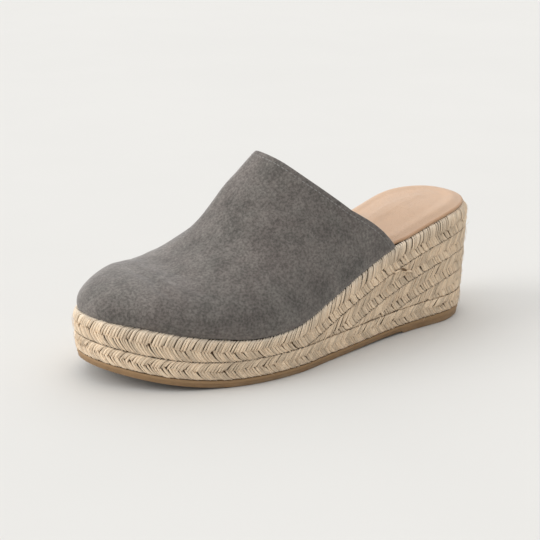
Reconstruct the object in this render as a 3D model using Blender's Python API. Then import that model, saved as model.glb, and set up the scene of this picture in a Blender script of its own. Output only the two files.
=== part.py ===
"""Left wedge mule: suede upper, padded footbed, wedge of five jute braids, rubber outsole.

Metres, +Z up, the floor at z = 0. The toe points along -X and the outer side of the foot along -Y.
A station t is a share of the length, from the back of the heel (0) to the tip of the toe (1).
"""

from collections import namedtuple

import bmesh
import bpy
import numpy as np

COLLECTION = "wedge_mule"
GAP = 0.0003  # between pieces that touch

# Outline of the wedge, seen from above
LENGTH = 0.245
BALL_WIDTH = 0.097
HEEL_ROUND = 0.0378  # length of the rounded back
HEEL_POWER = 2.32  # 2 gives an ellipse, more a squarer back
TOE_ROUND = 0.0634
TOE_POWER = 2.22
HEEL_RAKE = 0.003  # how far the foot of the wedge stands in at the back
TOE_TUCK = 0.002  # and at the toe
LEAN_REACH = 0.080  # length at each end over which the side leans

# Heights above the floor, to the top of the braid
HEEL_HEIGHT = 0.0662
PLATFORM = 0.0229  # under the ball
TOE_SPRING = 0.010
TOE_SPRING_REACH = 0.064  # from the tip of the toe

# Outsole
SOLE_THICK = 0.0040
HEEL_SOLE_THICK = 0.0063
SOLE_STEP = 0.0005  # the lower part of its side stands in by this
HEEL_BREAST = 0.0615  # from the back of the heel to the step under the waist
BREAST_SLOPE = 0.0010
ARCH_LIFT = 0.0012  # underside of the waist above the floor
TREAD_BACK = 0.127  # from the back of the heel to where the forefoot meets the floor

# Rows of braid
ROWS = 5
ROW_HEIGHT = 0.0119
BASE_ROW = 0.0095  # the row that follows the outsole all round
ROW_ROUND = 0.0011  # how far a row's edges stand in from its belly
ROW_TIP = 0.0018  # height of a row where it ends in the waist
ROW_STEP = 0.0006  # slope where a row closes behind the tip of the one below

# Footbed
EDGE_THICK = 0.0017
PAD_CREST = 0.0011  # soft ridge above the footbed's edge
PAD_DISH = 0.0002  # its middle above the edge
CREST_IN = 0.0055  # from the edge to the ridge
DISH_IN = 0.0125
EDGE_ROUND = 0.0005
HEEL_MARGIN = 0.0016  # braid that shows beside the footbed
SHOULDER = 0.010  # length over which it narrows to go inside the upper

# Upper
WALL = 0.0018
FEATHER_MARGIN = 0.0022  # the upper stands in from the wedge by this
TOE_LEDGE = 0.0023  # and by this more at the tip of the toe
THROAT = 0.0735  # ridge of the collar above the footbed
THROAT_FROM_HEEL = 0.1306
OUTER_CORNER = 0.0684  # from the back of the heel to where the collar meets the wedge
INNER_CORNER = 0.0722
TOE_BOX = 0.036  # length over which the toe rounds up from the wedge
TOE_BOX_POWER = 2.35
RIDGE_SIDE = 0.0150  # the ridge stands this far to the big toe's side of the centre line
SIDE_BELLY = 0.0022
TOE_SHAPE = 2.33  # roundness of the sections at the toe; 2 gives an ellipse
COLLAR_OUTER_SHAPE = 1.92  # and at the collar, on the foot's outer and inner side
COLLAR_INNER_SHAPE = 2.16

# Elastic gusset in the inner side of the collar, as shares of the way to the collar and
# of the way over the foot from the outer side to the inner one
GUSSET_FOOT = 0.878
GUSSET_FOOT_OVER = 0.975
GUSSET_FRONT_OVER = 0.877
GUSSET_BACK_OVER = 0.925
GUSSET_SINK = 0.0003
GUSSET_THICK = 0.0011

# Facets
RING_STATIONS = 34
OUTER_COLUMNS = 25
CORNER_COLUMNS = 3
TOE_ROWS = 19
GUSSET_ROWS = 6
GUSSET_COLUMNS = 4

# Sections along the last: width and centre line as shares of the ball width, the rise of
# the braid's top as a share of the way from platform to heel height, and the ridge of the
# upper as a share of the throat's height.
Section = namedtuple("Section", "t width centre rise ridge")
SECTIONS = (
    Section(0.00, 0.662, 0.014, 1.000, 1.000),
    Section(0.10, 0.660, 0.008, 0.928, 1.000),
    Section(0.20, 0.643, -0.007, 0.781, 1.000),
    Section(0.30, 0.634, -0.037, 0.622, 1.000),
    Section(0.40, 0.688, -0.054, 0.435, 1.000),
    Section(0.50, 0.815, -0.040, 0.225, 1.030),
    Section(0.60, 0.961, -0.020, 0.048, 0.872),
    Section(0.70, 0.997, 0.000, 0.000, 0.593),
    Section(0.80, 0.913, 0.011, 0.043, 0.390),
    Section(0.90, 0.840, 0.034, 0.045, 0.319),
    Section(1.00, 0.720, 0.070, 0.004, 0.282),
)

# One level of a loft: how far in from the wedge's outline, and the height, at each station
Level = namedtuple("Level", "inset z")


def column(name, t):
    """A column of the section table at any station, as a smooth curve through its rows."""
    knots = np.array([row.t for row in SECTIONS])
    values = np.array([getattr(row, name) for row in SECTIONS])
    steps = np.diff(knots)
    slopes = np.diff(values) / steps
    tangents = np.empty_like(values)
    tangents[0] = slopes[0]
    tangents[-1] = slopes[-1]
    both = steps[1:] + steps[:-1]
    tangents[1:-1] = (slopes[:-1] * steps[1:] + slopes[1:] * steps[:-1]) / both
    t = np.asarray(t, float)
    k = np.clip(np.searchsorted(knots, t, side="right") - 1, 0, len(steps) - 1)
    s = (t - knots[k]) / steps[k]
    start = (2 * s**3 - 3 * s**2 + 1) * values[k] + (s**3 - 2 * s**2 + s) * steps[k] * tangents[k]
    end = (3 * s**2 - 2 * s**3) * values[k + 1] + (s**3 - s**2) * steps[k] * tangents[k + 1]
    return start + end


def ease(s):
    """0 to 1 with level ends."""
    s = np.clip(s, 0, 1)
    return s * s * (3 - 2 * s)


def rounded(s, power):
    """Rise from 0 to 1 along a rounded end, s being the share of the end's length."""
    return (1 - (1 - np.clip(s, 0, 1)) ** power) ** (1 / power)


# Outline and heights


def cap(t):
    """Share of the full width that the rounded heel and toe leave at a station."""
    heel = rounded(t * LENGTH / HEEL_ROUND, HEEL_POWER)
    toe = rounded((1 - t) * LENGTH / TOE_ROUND, TOE_POWER)
    return heel * toe


def centre(t):
    return BALL_WIDTH * column("centre", t)


def half_width(t, inset):
    return (BALL_WIDTH / 2 * column("width", t) - inset) * cap(t)


def toe_lift(t):
    reach = TOE_SPRING_REACH / LENGTH
    return TOE_SPRING * np.clip((t - 1 + reach) / reach, 0, 1) ** 1.8


def braid_top(t):
    return PLATFORM + (HEEL_HEIGHT - PLATFORM) * column("rise", t) + toe_lift(t)


def sole_under(t):
    """Underside of the outsole: flat heel and forefoot, lifted waist, toe spring."""
    breast = HEEL_BREAST / LENGTH
    slope = BREAST_SLOPE / LENGTH
    tread = TREAD_BACK / LENGTH
    waist = ease((tread - t) / (tread - breast)) * np.clip((t - breast) / slope, 0, 1)
    return ARCH_LIFT * waist + toe_lift(t)


def sole_top(t):
    heel = ease(1 - t * LENGTH / TREAD_BACK)
    return toe_lift(t) + SOLE_THICK + (HEEL_SOLE_THICK - SOLE_THICK) * heel


def base_top(t):
    return sole_top(t) + GAP + BASE_ROW


def along(t, z, inset):
    """x of a station at a height: the ends stand in by inset, and more near the floor."""
    low = np.clip(1 - z / braid_top(t), 0, 1)
    heel = ease(1 - t * LENGTH / LEAN_REACH)
    toe = ease(1 - (1 - t) * LENGTH / LEAN_REACH)
    return (0.5 - t) * (LENGTH - 2 * inset) + low * (TOE_TUCK * toe - HEEL_RAKE * heel)


def toe_ledge(t):
    """How much more the upper and the footbed stand in towards the tip of the toe."""
    corner = OUTER_CORNER / LENGTH
    return TOE_LEDGE * np.clip((t - corner) / (1 - corner), 0, 1) ** 2


def outline_middle():
    """y half way across the wedge, so that the shoe stands centred on the origin."""
    t = np.linspace(0, 1, 400)
    return ((centre(t) + half_width(t, 0)).max() + (centre(t) - half_width(t, 0)).min()) / 2


MIDDLE = outline_middle()


def side_point(t, z, inset, side):
    """Point of the outline, side -1 on the foot's outer side and 1 on its inner one."""
    y = centre(t) + side * half_width(t, inset) - MIDDLE
    return np.stack([along(t, z, inset), y, z], -1)


def stations(end, specials):
    """Stations from the heel to an end, closer at the rounded ends, with special ones kept."""
    turn = np.linspace(0, np.pi, RING_STATIONS + 1)
    even = (1 - np.cos(turn)) / 2
    wanted = np.array([s for s in specials if s < end] + [end])
    near = 0.4 / RING_STATIONS
    free = [t for t in even if t < end and np.abs(wanted - t).min() > near * min(1, 30 * t * (1 - t))]
    return np.array(sorted(set(free) | set(wanted)))


# Meshes


def add_object(name, points, faces, material):
    mesh = bpy.data.meshes.new(name)
    mesh.from_pydata([tuple(p) for p in points], [], faces)
    bm = bmesh.new()
    bm.from_mesh(mesh)
    bmesh.ops.recalc_face_normals(bm, faces=bm.faces)
    bm.to_mesh(mesh)
    bm.free()
    mesh.shade_smooth()
    mesh.set_sharp_from_angle(angle=0.7)
    mesh.materials.append(material)
    piece = bpy.data.objects.new(name, mesh)
    bpy.data.collections[COLLECTION].objects.link(piece)
    return piece


def add_material(name, colour, roughness):
    material = bpy.data.materials.new(name)
    material.use_nodes = True
    shader = material.node_tree.nodes["Principled BSDF"]
    shader.inputs["Base Color"].default_value = (*colour, 1)
    shader.inputs["Roughness"].default_value = roughness
    shader.inputs["Metallic"].default_value = 0
    return material


def ring_loft(name, ts, levels, material, blunt=False):
    """Closed loft of rings about the shoe, from the lowest level to the inmost upper one.

    Each ring runs down the outer side from heel to toe and back up the inner side. It is
    a single point at the heel, and at the toe unless the piece ends blunt in the waist.
    """
    points = []
    last = len(ts) - 1
    for level in levels:
        outer = side_point(ts, level.z, level.inset, -1)
        inner = side_point(ts, level.z, level.inset, 1)
        back = inner[last:0:-1] if blunt else inner[last - 1:0:-1]
        points.extend(outer)
        points.extend(back)
    ring = len(points) // len(levels)
    faces = []
    for k in range(len(levels) - 1):
        for i in range(ring):
            j = (i + 1) % ring
            faces.append((k * ring + i, k * ring + j, (k + 1) * ring + j, (k + 1) * ring + i))
    for start in (0, (len(levels) - 1) * ring):
        for i in range(last):
            strip = [start + i, start + i + 1, start + (ring - i - 1) % ring, start + (ring - i) % ring]
            faces.append(tuple(dict.fromkeys(strip)))
    return add_object(name, points, faces, material)


# Pieces of the sole


def make_outsole(material):
    breast = HEEL_BREAST / LENGTH
    ts = stations(1, [breast, breast + BREAST_SLOPE / LENGTH, TREAD_BACK / LENGTH])
    under = sole_under(ts)
    top = sole_top(ts)
    shares = ((0.0, 2 * SOLE_STEP), (0.10, SOLE_STEP), (0.55, SOLE_STEP), (0.65, 0.0), (1.0, 0.0))
    levels = [Level(ROW_ROUND / 2 + inset, under + share * (top - under)) for share, inset in shares]
    return ring_loft("outsole", ts, levels, material)


def row_top(row, t):
    """Top of a row of braid: the base row follows the outsole, the others the footbed."""
    if row == 1:
        return base_top(t)
    pitch = np.maximum(ROW_HEIGHT, (braid_top(t) - base_top(t)) / (ROWS - 1))
    return braid_top(t) - (ROWS - row) * pitch


def row_end(row):
    """Station where a row runs out between the one above it and the base row."""
    if row in (1, ROWS):
        return 1.0
    low = 0.05
    high = 0.95
    for _ in range(40):
        middle = (low + high) / 2
        if row_top(row, middle) - base_top(middle) > ROW_TIP:
            low = middle
        else:
            high = middle
    return low


def row_under(row, t, ends):
    """Underside of a row: the top of the next row that still runs at each station."""
    if row == 1:
        return sole_top(t) + GAP
    under = base_top(t)
    for lower in range(2, row):
        past = (t - ends[lower]) * LENGTH - GAP
        closing = np.clip(1 - past / ROW_STEP, 0, 1)
        under = np.maximum(under, base_top(t) + (row_top(lower, t) - base_top(t)) * closing)
    return under + GAP


def make_row(row, ends, material):
    specials = []
    for lower in range(2, row):
        start = ends[lower] + GAP / LENGTH
        specials += [start, start + ROW_STEP / LENGTH]
    ts = stations(ends[row], specials)
    under = row_under(row, ts, ends)
    top = row_top(row, ts)
    levels = []
    for share in (0.0, 0.14, 0.5, 0.86, 1.0):
        inset = ROW_ROUND * (2 * share - 1) ** 2
        levels.append(Level(inset, under + share * (top - under)))
    return ring_loft(f"jute_row_{row}", ts, levels, material, blunt=ends[row] < 1)


def make_insole(material):
    """Footbed on the top row, with a soft ridge inside its edge, narrower under the upper."""
    corner = OUTER_CORNER / LENGTH
    ts = stations(1, [corner - SHOULDER / LENGTH, corner - SHOULDER / LENGTH / 2, corner])
    inside = FEATHER_MARGIN + WALL + 2 * GAP
    narrow = ease((ts - corner) * LENGTH / SHOULDER + 1)
    edge = ROW_ROUND + HEEL_MARGIN + (inside - ROW_ROUND - HEEL_MARGIN) * narrow
    seat = braid_top(ts) + GAP
    profile = (
        (EDGE_ROUND, 0.0),
        (0.0, EDGE_ROUND),
        (0.0, EDGE_THICK - EDGE_ROUND),
        (EDGE_ROUND, EDGE_THICK),
        (CREST_IN / 2, EDGE_THICK + PAD_CREST * 0.8),
        (CREST_IN, EDGE_THICK + PAD_CREST),
        ((CREST_IN + DISH_IN) / 2, EDGE_THICK + (PAD_CREST + PAD_DISH) / 2),
        (DISH_IN, EDGE_THICK + PAD_DISH),
    )
    edge += toe_ledge(ts)
    levels = [Level(edge + inset, seat + height) for inset, height in profile]
    return ring_loft("insole", ts, levels, material)


# Upper


def upper_point(u, over):
    """Outer face of the upper.

    u is the way from the toe (0) to the collar (1), over the way across the foot from its
    outer side (0) to its inner one (1). Each section leans back from the two feather
    lines up to the ridge.
    """
    u = np.asarray(u, float)
    reach = 0.35 * (1 - np.cos(u * np.pi / 2)) + 0.65 * u**1.6
    t_outer = 1 - reach * (1 - OUTER_CORNER / LENGTH)
    t_inner = 1 - reach * (1 - INNER_CORNER / LENGTH)
    t_ridge = 1 - reach * (1 - THROAT_FROM_HEEL / LENGTH)
    ledge = toe_ledge(t_outer)
    outer = side_point(t_outer, braid_top(t_outer) + GAP, FEATHER_MARGIN, -1)
    inner = side_point(t_inner, braid_top(t_inner) + GAP, FEATHER_MARGIN, 1)
    box = rounded((1 - t_ridge) * LENGTH / TOE_BOX, TOE_BOX_POWER)
    ridge_z = braid_top(t_ridge) + THROAT * column("ridge", t_ridge) * box
    ridge_x = (0.5 - t_ridge) * (LENGTH - 2 * FEATHER_MARGIN)
    ridge_y = centre(t_ridge) - MIDDLE + RIDGE_SIDE * np.minimum(1, 4 * reach)
    is_outer = over <= 0.5
    collar_shape = np.where(is_outer, COLLAR_OUTER_SHAPE, COLLAR_INNER_SHAPE)
    power = 2 / (TOE_SHAPE + (collar_shape - TOE_SHAPE) * reach)
    up = np.sin(np.pi * over) ** power
    aside = np.abs(np.cos(np.pi * over)) ** power
    belly = SIDE_BELLY * np.sin(2 * np.pi * over) * np.minimum(1, 5 * reach)
    foot = np.where(is_outer[..., None], outer, inner)
    x = foot[..., 0] + (ridge_x - foot[..., 0]) * up + ledge
    y = ridge_y + (foot[..., 1] - ridge_y) * aside - belly
    z = foot[..., 2] + (ridge_z - foot[..., 2]) * up
    return np.stack([x, y, z], -1)


def upper_normal(u, over):
    """Outward unit normal of the upper's outer face."""
    step = 0.002
    u_low = np.maximum(u - step, step)
    u_high = np.minimum(u + step, 1)
    over_low = np.maximum(over - step, 1e-4)
    over_high = np.minimum(over + step, 1 - 1e-4)
    along_u = upper_point(u_high, over) - upper_point(u_low, over)
    across = upper_point(np.maximum(u, step), over_high) - upper_point(np.maximum(u, step), over_low)
    normal = np.cross(along_u, across)
    return normal / np.linalg.norm(normal, axis=-1, keepdims=True)


def gusset_edges(u):
    """The gusset's front and back edge across the foot: one line up to its foot, then a V."""
    s = np.clip((u - GUSSET_FOOT) / (1 - GUSSET_FOOT), 0, 1)
    front = GUSSET_FOOT_OVER + (GUSSET_FRONT_OVER - GUSSET_FOOT_OVER) * s
    back = GUSSET_FOOT_OVER + (GUSSET_BACK_OVER - GUSSET_FOOT_OVER) * s
    return front, back


def inner_skin(points, normals, feather):
    """Inner face of the wall; its lower edge stays level with the outer one."""
    skin = points - WALL * normals
    level = normals[feather] * (1, 1, 0)
    level /= np.linalg.norm(level, axis=-1, keepdims=True)
    skin[feather] = points[feather] - WALL * level
    return skin


def make_upper(material):
    """Shell of the upper: two grids of columns that part along the gusset's V.

    Below the V the last column before it and the first one after it are the same points.
    """
    lower = np.linspace(0, GUSSET_FOOT, TOE_ROWS + 1)[1:]
    upper = np.linspace(GUSSET_FOOT, 1, GUSSET_ROWS + 1)[1:]
    us = np.concatenate([lower, upper])
    front, back = gusset_edges(us)
    s_outer = np.linspace(0, 1, OUTER_COLUMNS + 1)
    s_inner = np.linspace(0, 1, CORNER_COLUMNS + 1)
    over = np.concatenate([front[:, None] * s_outer, back[:, None] + (1 - back[:, None]) * s_inner], 1)
    u_grid = np.broadcast_to(us[:, None], over.shape)
    grid = upper_point(u_grid, over)
    normals = upper_normal(u_grid, over)
    feather = np.zeros(over.shape, bool)
    feather[:, (0, -1)] = True
    skin = inner_skin(grid, normals, feather)
    toe = upper_point(np.array([0.0]), np.array([0.0]))[0]
    points = [toe, toe + (WALL, 0, 0)]
    rows, columns = over.shape
    index = np.empty((2, rows, columns), int)
    for face, source in enumerate((grid, skin)):
        for i in range(rows):
            for j in range(columns):
                joined = j == OUTER_COLUMNS + 1 and us[i] <= GUSSET_FOOT + 1e-9
                if joined:
                    index[face, i, j] = index[face, i, j - 1]
                    continue
                index[face, i, j] = len(points)
                points.append(source[i, j])
    faces = []
    for face, side in enumerate(index):
        for j in range(columns - 1):
            if j == OUTER_COLUMNS:
                continue
            faces.append((face, side[0, j], side[0, j + 1]))
            for i in range(rows - 1):
                faces.append((side[i, j], side[i, j + 1], side[i + 1, j + 1], side[i + 1, j]))
    for j in (0, columns - 1):
        rim = np.concatenate([[[0], [1]], index[:, :, j]], 1)
        faces.extend(rim_faces(rim))
    for run in (index[:, -1, :OUTER_COLUMNS + 1], index[:, -1, OUTER_COLUMNS + 1:]):
        faces.extend(rim_faces(run))
    for j in (OUTER_COLUMNS, OUTER_COLUMNS + 1):
        faces.extend(rim_faces(index[:, TOE_ROWS - 1:, j]))
    return add_object("upper", points, faces, material)


def rim_faces(rim):
    """Faces that close the edge between the outer skin's points and the inner skin's."""
    outer, inner = rim
    return [(outer[i], outer[i + 1], inner[i + 1], inner[i]) for i in range(len(outer) - 1)]


def make_gusset(material):
    """Elastic V in the notch of the upper, a little sunk, clear of the notch's edges."""
    us = np.linspace(GUSSET_FOOT, 1, 4 * GUSSET_ROWS + 1)
    front, back = gusset_edges(us)
    span = np.linalg.norm(upper_point(us, back) - upper_point(us, front), axis=-1)
    wide = us[span > 5 * GAP]
    us = np.linspace(wide[0], 1, GUSSET_ROWS + 1)
    front, back = gusset_edges(us)
    span = np.linalg.norm(upper_point(us, back) - upper_point(us, front), axis=-1)
    clear = (1.3 * GAP / span)[:, None]
    share = clear + (1 - 2 * clear) * np.linspace(0, 1, GUSSET_COLUMNS + 1)
    over = front[:, None] + (back - front)[:, None] * share
    u_grid = np.broadcast_to(us[:, None], over.shape)
    normals = upper_normal(u_grid, over)
    face = upper_point(u_grid, over) - GUSSET_SINK * normals
    skin = face - GUSSET_THICK * normals
    rows, columns = over.shape
    index = np.arange(2 * rows * columns).reshape(2, rows, columns)
    faces = []
    for side in index:
        for i in range(rows - 1):
            for j in range(columns - 1):
                faces.append((side[i, j], side[i, j + 1], side[i + 1, j + 1], side[i + 1, j]))
    for rim in (index[:, 0], index[:, -1], index[:, :, 0], index[:, :, -1]):
        faces.extend(rim_faces(rim))
    points = np.concatenate([face.reshape(-1, 3), skin.reshape(-1, 3)])
    return add_object("elastic_gore", points, faces, material)


def main():
    for old in list(bpy.data.objects):
        bpy.data.objects.remove(old, do_unlink=True)
    parts = bpy.data.collections.new(COLLECTION)
    bpy.context.scene.collection.children.link(parts)
    suede = add_material("grey_suede", (0.17, 0.16, 0.155), 0.95)
    elastic = add_material("grey_elastic", (0.12, 0.115, 0.11), 0.9)
    jute = add_material("jute", (0.56, 0.44, 0.30), 0.9)
    leather = add_material("footbed_leather", (0.72, 0.50, 0.36), 0.5)
    rubber = add_material("gum_rubber", (0.36, 0.22, 0.11), 0.6)
    make_outsole(rubber)
    ends = {row: row_end(row) for row in range(1, ROWS + 1)}
    for row in ends:
        make_row(row, ends, jute)
    make_insole(leather)
    make_upper(suede)
    make_gusset(elastic)


main()
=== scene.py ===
"""Looks of the left wedge mule: suede upper, padded footbed, braided jute wedge, gum outsole.

Metres, +Z up, the floor at z = 0. The toe points along -X and the outer side of the foot along -Y.
A station t is a share of the length, from the back of the heel (0) to the tip of the toe (1).
"""

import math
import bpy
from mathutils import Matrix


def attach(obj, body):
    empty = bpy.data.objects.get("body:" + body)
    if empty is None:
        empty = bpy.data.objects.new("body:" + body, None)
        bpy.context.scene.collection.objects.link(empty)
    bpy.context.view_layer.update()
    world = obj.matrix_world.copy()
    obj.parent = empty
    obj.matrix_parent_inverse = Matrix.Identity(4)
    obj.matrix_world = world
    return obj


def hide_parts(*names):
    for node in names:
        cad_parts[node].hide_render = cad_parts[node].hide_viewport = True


bl_info = {
    "name": "Wedge mule looks",
    "version": (1, 0, 0),
    "blender": (4, 5, 0),
    "location": "View3D > Sidebar > Mule",
    "description": "Dresses the solids of a wedge mule in suede, leather, braided jute and rubber",
    "category": "Object",
}

from collections import namedtuple

import bmesh
import bpy
import numpy as np
from mathutils import Matrix, Vector

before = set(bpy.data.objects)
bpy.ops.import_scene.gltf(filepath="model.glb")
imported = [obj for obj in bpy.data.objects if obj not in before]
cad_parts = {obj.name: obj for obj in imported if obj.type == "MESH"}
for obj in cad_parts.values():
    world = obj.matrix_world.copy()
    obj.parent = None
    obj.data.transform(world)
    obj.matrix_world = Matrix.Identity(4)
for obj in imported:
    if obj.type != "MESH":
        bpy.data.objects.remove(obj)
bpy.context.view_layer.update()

# Outline of the wedge, as in the solids
GAP = 0.0003
LENGTH = 0.245
BALL_WIDTH = 0.097
HEEL_ROUND = 0.0378
HEEL_POWER = 2.32
TOE_ROUND = 0.0634
TOE_POWER = 2.22
HEEL_RAKE = 0.003
TOE_TUCK = 0.002
LEAN_REACH = 0.080

# Heights above the floor, to the top of the braid
HEEL_HEIGHT = 0.0662
PLATFORM = 0.0229
TOE_SPRING = 0.010
TOE_SPRING_REACH = 0.064

# Outsole
SOLE_THICK = 0.0040
HEEL_SOLE_THICK = 0.0063
HEEL_BREAST = 0.0615
BREAST_SLOPE = 0.0010
ARCH_LIFT = 0.0012
GROOVE_FLOOR = 0.15  # half widths of a groove of the tread, as shares of its pitch
GROOVE_MOUTH = 0.24
TREAD_BACK = 0.127
# Its side, as shares of the height and how far it stands in there, with the moulded line on top
SOLE_SIDE = (
    (0.0, 0.0013), (0.03, 0.0007), (0.10, 0.0004), (0.53, 0.0003),
    (0.58, 0.0002), (0.64, 0.0), (0.94, 0.0), (1.0, 0.0002),
)

# Rows of braid
ROWS = 5
ROW_HEIGHT = 0.0119
BASE_ROW = 0.0095
ROW_ROUND = 0.0011
ROW_TIP = 0.0018  # its backing ends where it stands this high over the base row
GUIDE_TIP = 0.0007  # and its straws here

# Footbed
EDGE_THICK = 0.0017
PAD_CREST = 0.0011
PAD_DISH = 0.0002
CREST_IN = 0.0055
DISH_IN = 0.0125
CREST_FROM = 0.0004
FOOT_DIP = 0.0006  # the footbed sinks a little more past the dish
FOOT_DIP_REACH = 0.012
ROLLED_EDGE = 0.0030  # width of the browner edge
HEEL_MARGIN = 0.0016
SHOULDER = 0.010

# Upper
WALL = 0.0018
FEATHER_MARGIN = 0.0022
TOE_LEDGE = 0.0023
TOE_FULLNESS = 0.0022  # the suede bulges back over the ledge by this
FULL_HEIGHT = 0.022  # height of that bulge
FULL_UNTIL = 0.42  # where it ends on the way to the collar
FULL_FADE = 0.30
COLLAR_BOW = 0.0026  # how far the outer end of the topline bows towards the heel
BOW_OVER = 0.165  # share over the foot at which the bow ends
BOW_FROM = 0.75  # and where it starts on the way to the collar
THROAT_LIFT = 0.0025  # how much the instep stands up at the collar
THROAT_FROM = 0.79
THROAT_FADE = 0.12
INSTEP_HALF = 0.08  # shares over the foot, either side of its middle
INSTEP_FADE = 0.14
TUCK = 0.0006  # the suede's lower edge is drawn in by this
TUCK_HEIGHT = 0.0022
HAND_WAVE = 0.00022
HAND_RIPPLE = 0.00012
THROAT = 0.0735
THROAT_FROM_HEEL = 0.1306
OUTER_CORNER = 0.0684
INNER_CORNER = 0.0722
TOE_BOX = 0.036
TOE_BOX_POWER = 2.35
RIDGE_SIDE = 0.0150
SIDE_BELLY = 0.0022
TOE_SHAPE = 2.33
COLLAR_OUTER_SHAPE = 1.92
COLLAR_INNER_SHAPE = 2.16
GUSSET_FOOT = 0.878
GUSSET_FOOT_OVER = 0.975
GUSSET_FRONT_OVER = 0.877
GUSSET_BACK_OVER = 0.925

# Elastic of the gusset
ELASTIC_THICK = 0.0011
ELASTIC_SINK = 0.0003  # its face lies this far under the suede's
ELASTIC_FROM = 0.012  # it starts this far over the notch's foot, on the way to the collar
ELASTIC_TO = 0.994
ELASTIC_RIBS = 7
ELASTIC_SWELL = 0.00016
ELASTIC_PICK = 0.0009
GUSSET_WAY = 0.13  # length that the gusset's share of the upper is counted in

# Sections along the last: width and centre line as shares of the ball width, the rise of
# the braid's top as a share of the way from platform to heel height, and the ridge of the
# upper as a share of the throat's height.
Section = namedtuple("Section", "t width centre rise ridge")
SECTIONS = (
    Section(0.00, 0.662, 0.014, 1.000, 1.000),
    Section(0.10, 0.660, 0.008, 0.928, 1.000),
    Section(0.20, 0.643, -0.007, 0.781, 1.000),
    Section(0.30, 0.634, -0.037, 0.622, 1.000),
    Section(0.40, 0.688, -0.054, 0.435, 1.000),
    Section(0.50, 0.815, -0.040, 0.225, 1.030),
    Section(0.60, 0.961, -0.020, 0.048, 0.872),
    Section(0.70, 0.997, 0.000, 0.000, 0.593),
    Section(0.80, 0.913, 0.011, 0.043, 0.390),
    Section(0.90, 0.840, 0.034, 0.045, 0.319),
    Section(1.00, 0.720, 0.070, 0.004, 0.282),
)

# One level of a loft: how far in from the wedge's outline, and the height, at each station
Level = namedtuple("Level", "inset z")

# Soft folds of the upper, as shares of the way to the collar and over the foot. Reach is how
# far a fold runs over the foot, slant how much it moves towards the collar as it crosses it.
Crease = namedtuple("Crease", "u over reach slant width depth")
CREASES = (
    Crease(0.44, 0.36, 0.20, 0.10, 0.022, -0.00045),
    Crease(0.50, 0.40, 0.17, 0.12, 0.020, 0.00040),
    Crease(0.57, 0.33, 0.16, 0.08, 0.024, -0.00040),
    Crease(0.52, 0.70, 0.15, -0.10, 0.022, -0.00045),
    Crease(0.60, 0.72, 0.13, -0.09, 0.022, 0.00035),
    Crease(0.86, 0.20, 0.12, 0.16, 0.030, -0.00050),
    Crease(0.93, 0.42, 0.14, -0.10, 0.026, -0.00035),
    Crease(0.30, 0.22, 0.12, 0.14, 0.030, 0.00035),
    Crease(0.76, 0.60, 0.16, 0.00, 0.045, -0.00065),
)

CORE_IN = 0.0016  # the braid's backing stands in from its belly by this
BRAID_ROUND = 0.0002  # how far the guide of a row stands in at its edges
TOE_ROUND_IN = 0.0008  # how far the upper edge of the top row rounds in at the toe
HEEL_ROUND_IN = 0.0017  # and at the heel
TOE_RIM = 0.0022  # the top row's edge stands up round the toe by this
TOE_RIM_FROM = 0.78
TOE_RIM_FADE = 0.18
EDGE_DROP = 0.0006  # the backing's top lies this far under the top row's edge
RIBBON_REACH = 0.20  # the guide of a row goes on past each edge by this share of its height
RIBBON_MARGIN = 0.0005  # no straw is placed nearer to the guide's edge than this share of it
RIBBON_TURN = 0.25  # past an edge the guide turns in, and goes on up or down by this share
HIDDEN_FROM = 0.0004  # a row starts to sink in this far above the top of the base row
HIDDEN_SLOPE = 1.6  # it sinks by this times its depth below there
HIDDEN_IN = 0.0028  # and by no more than this
BURIED = 0.0034  # straws stop where the row lies deeper than this
STRAW_RUN = 1.14  # a straw runs past the middle of its row: this times half the row's height
SHORT_STRAW = 0.20  # share of its run that a short straw leaves out, which makes a pit
FIBRE_LENGTH = 0.0052
FIBRES_OVER = 0.1  # the number of loose fibres is given for this much of a row
NOTCH_T = 0.279  # station of the tucked braid end on the line under the top row

# Tones that go with the colours that a user sets
WARM_GREY = (0.215, 0.178, 0.165)
NAP_SHEEN = (0.82, 0.80, 0.80)
PALE_FIBRE = (0.84, 0.74, 0.60)
# Painted highlight on the loops that roll over the top row's edge
LOOP_HIGHLIGHT = (0.90, 0.83, 0.72)
SHADED_STRAW = (0.52, 0.385, 0.26)
FLOOR_DUST = (0.42, 0.33, 0.23)

# Stitches: length of one as a share of its pitch, width of the thread and how far it sinks in
STITCH_SHARE = 0.82
THREAD = 0.00055
THREAD_SINK = 0.00005
STITCH_SEED = 3
SEAM = 0.012  # from an edge to its stitches, as a share over the foot
BACK_SEAM = 0.009
CORNER_SEAM = 0.010

FLOOR = 60.0  # half the side of the studio's floor

# Grid of the upper
TOE_ROWS = 92
NOTCH_ROWS = 16
SHELL_COLUMNS = 120
CORNER_COLUMNS = 8
INSTEP_COLUMN = 50
TOE_TO_COLLAR = 0.125  # the way over the upper, near enough


# Shape of the last


def column(name, t):
    """A column of the section table at any station, as a smooth curve through its rows."""
    knots = np.array([row.t for row in SECTIONS])
    values = np.array([getattr(row, name) for row in SECTIONS])
    steps = np.diff(knots)
    slopes = np.diff(values) / steps
    tangents = np.empty_like(values)
    tangents[0] = slopes[0]
    tangents[-1] = slopes[-1]
    both = steps[1:] + steps[:-1]
    tangents[1:-1] = (slopes[:-1] * steps[1:] + slopes[1:] * steps[:-1]) / both
    t = np.asarray(t, float)
    k = np.clip(np.searchsorted(knots, t, side="right") - 1, 0, len(steps) - 1)
    s = (t - knots[k]) / steps[k]
    start = (2 * s**3 - 3 * s**2 + 1) * values[k] + (s**3 - 2 * s**2 + s) * steps[k] * tangents[k]
    end = (3 * s**2 - 2 * s**3) * values[k + 1] + (s**3 - s**2) * steps[k] * tangents[k + 1]
    return start + end


def ease(s):
    """0 to 1 with level ends."""
    s = np.clip(s, 0, 1)
    return s * s * (3 - 2 * s)


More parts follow.
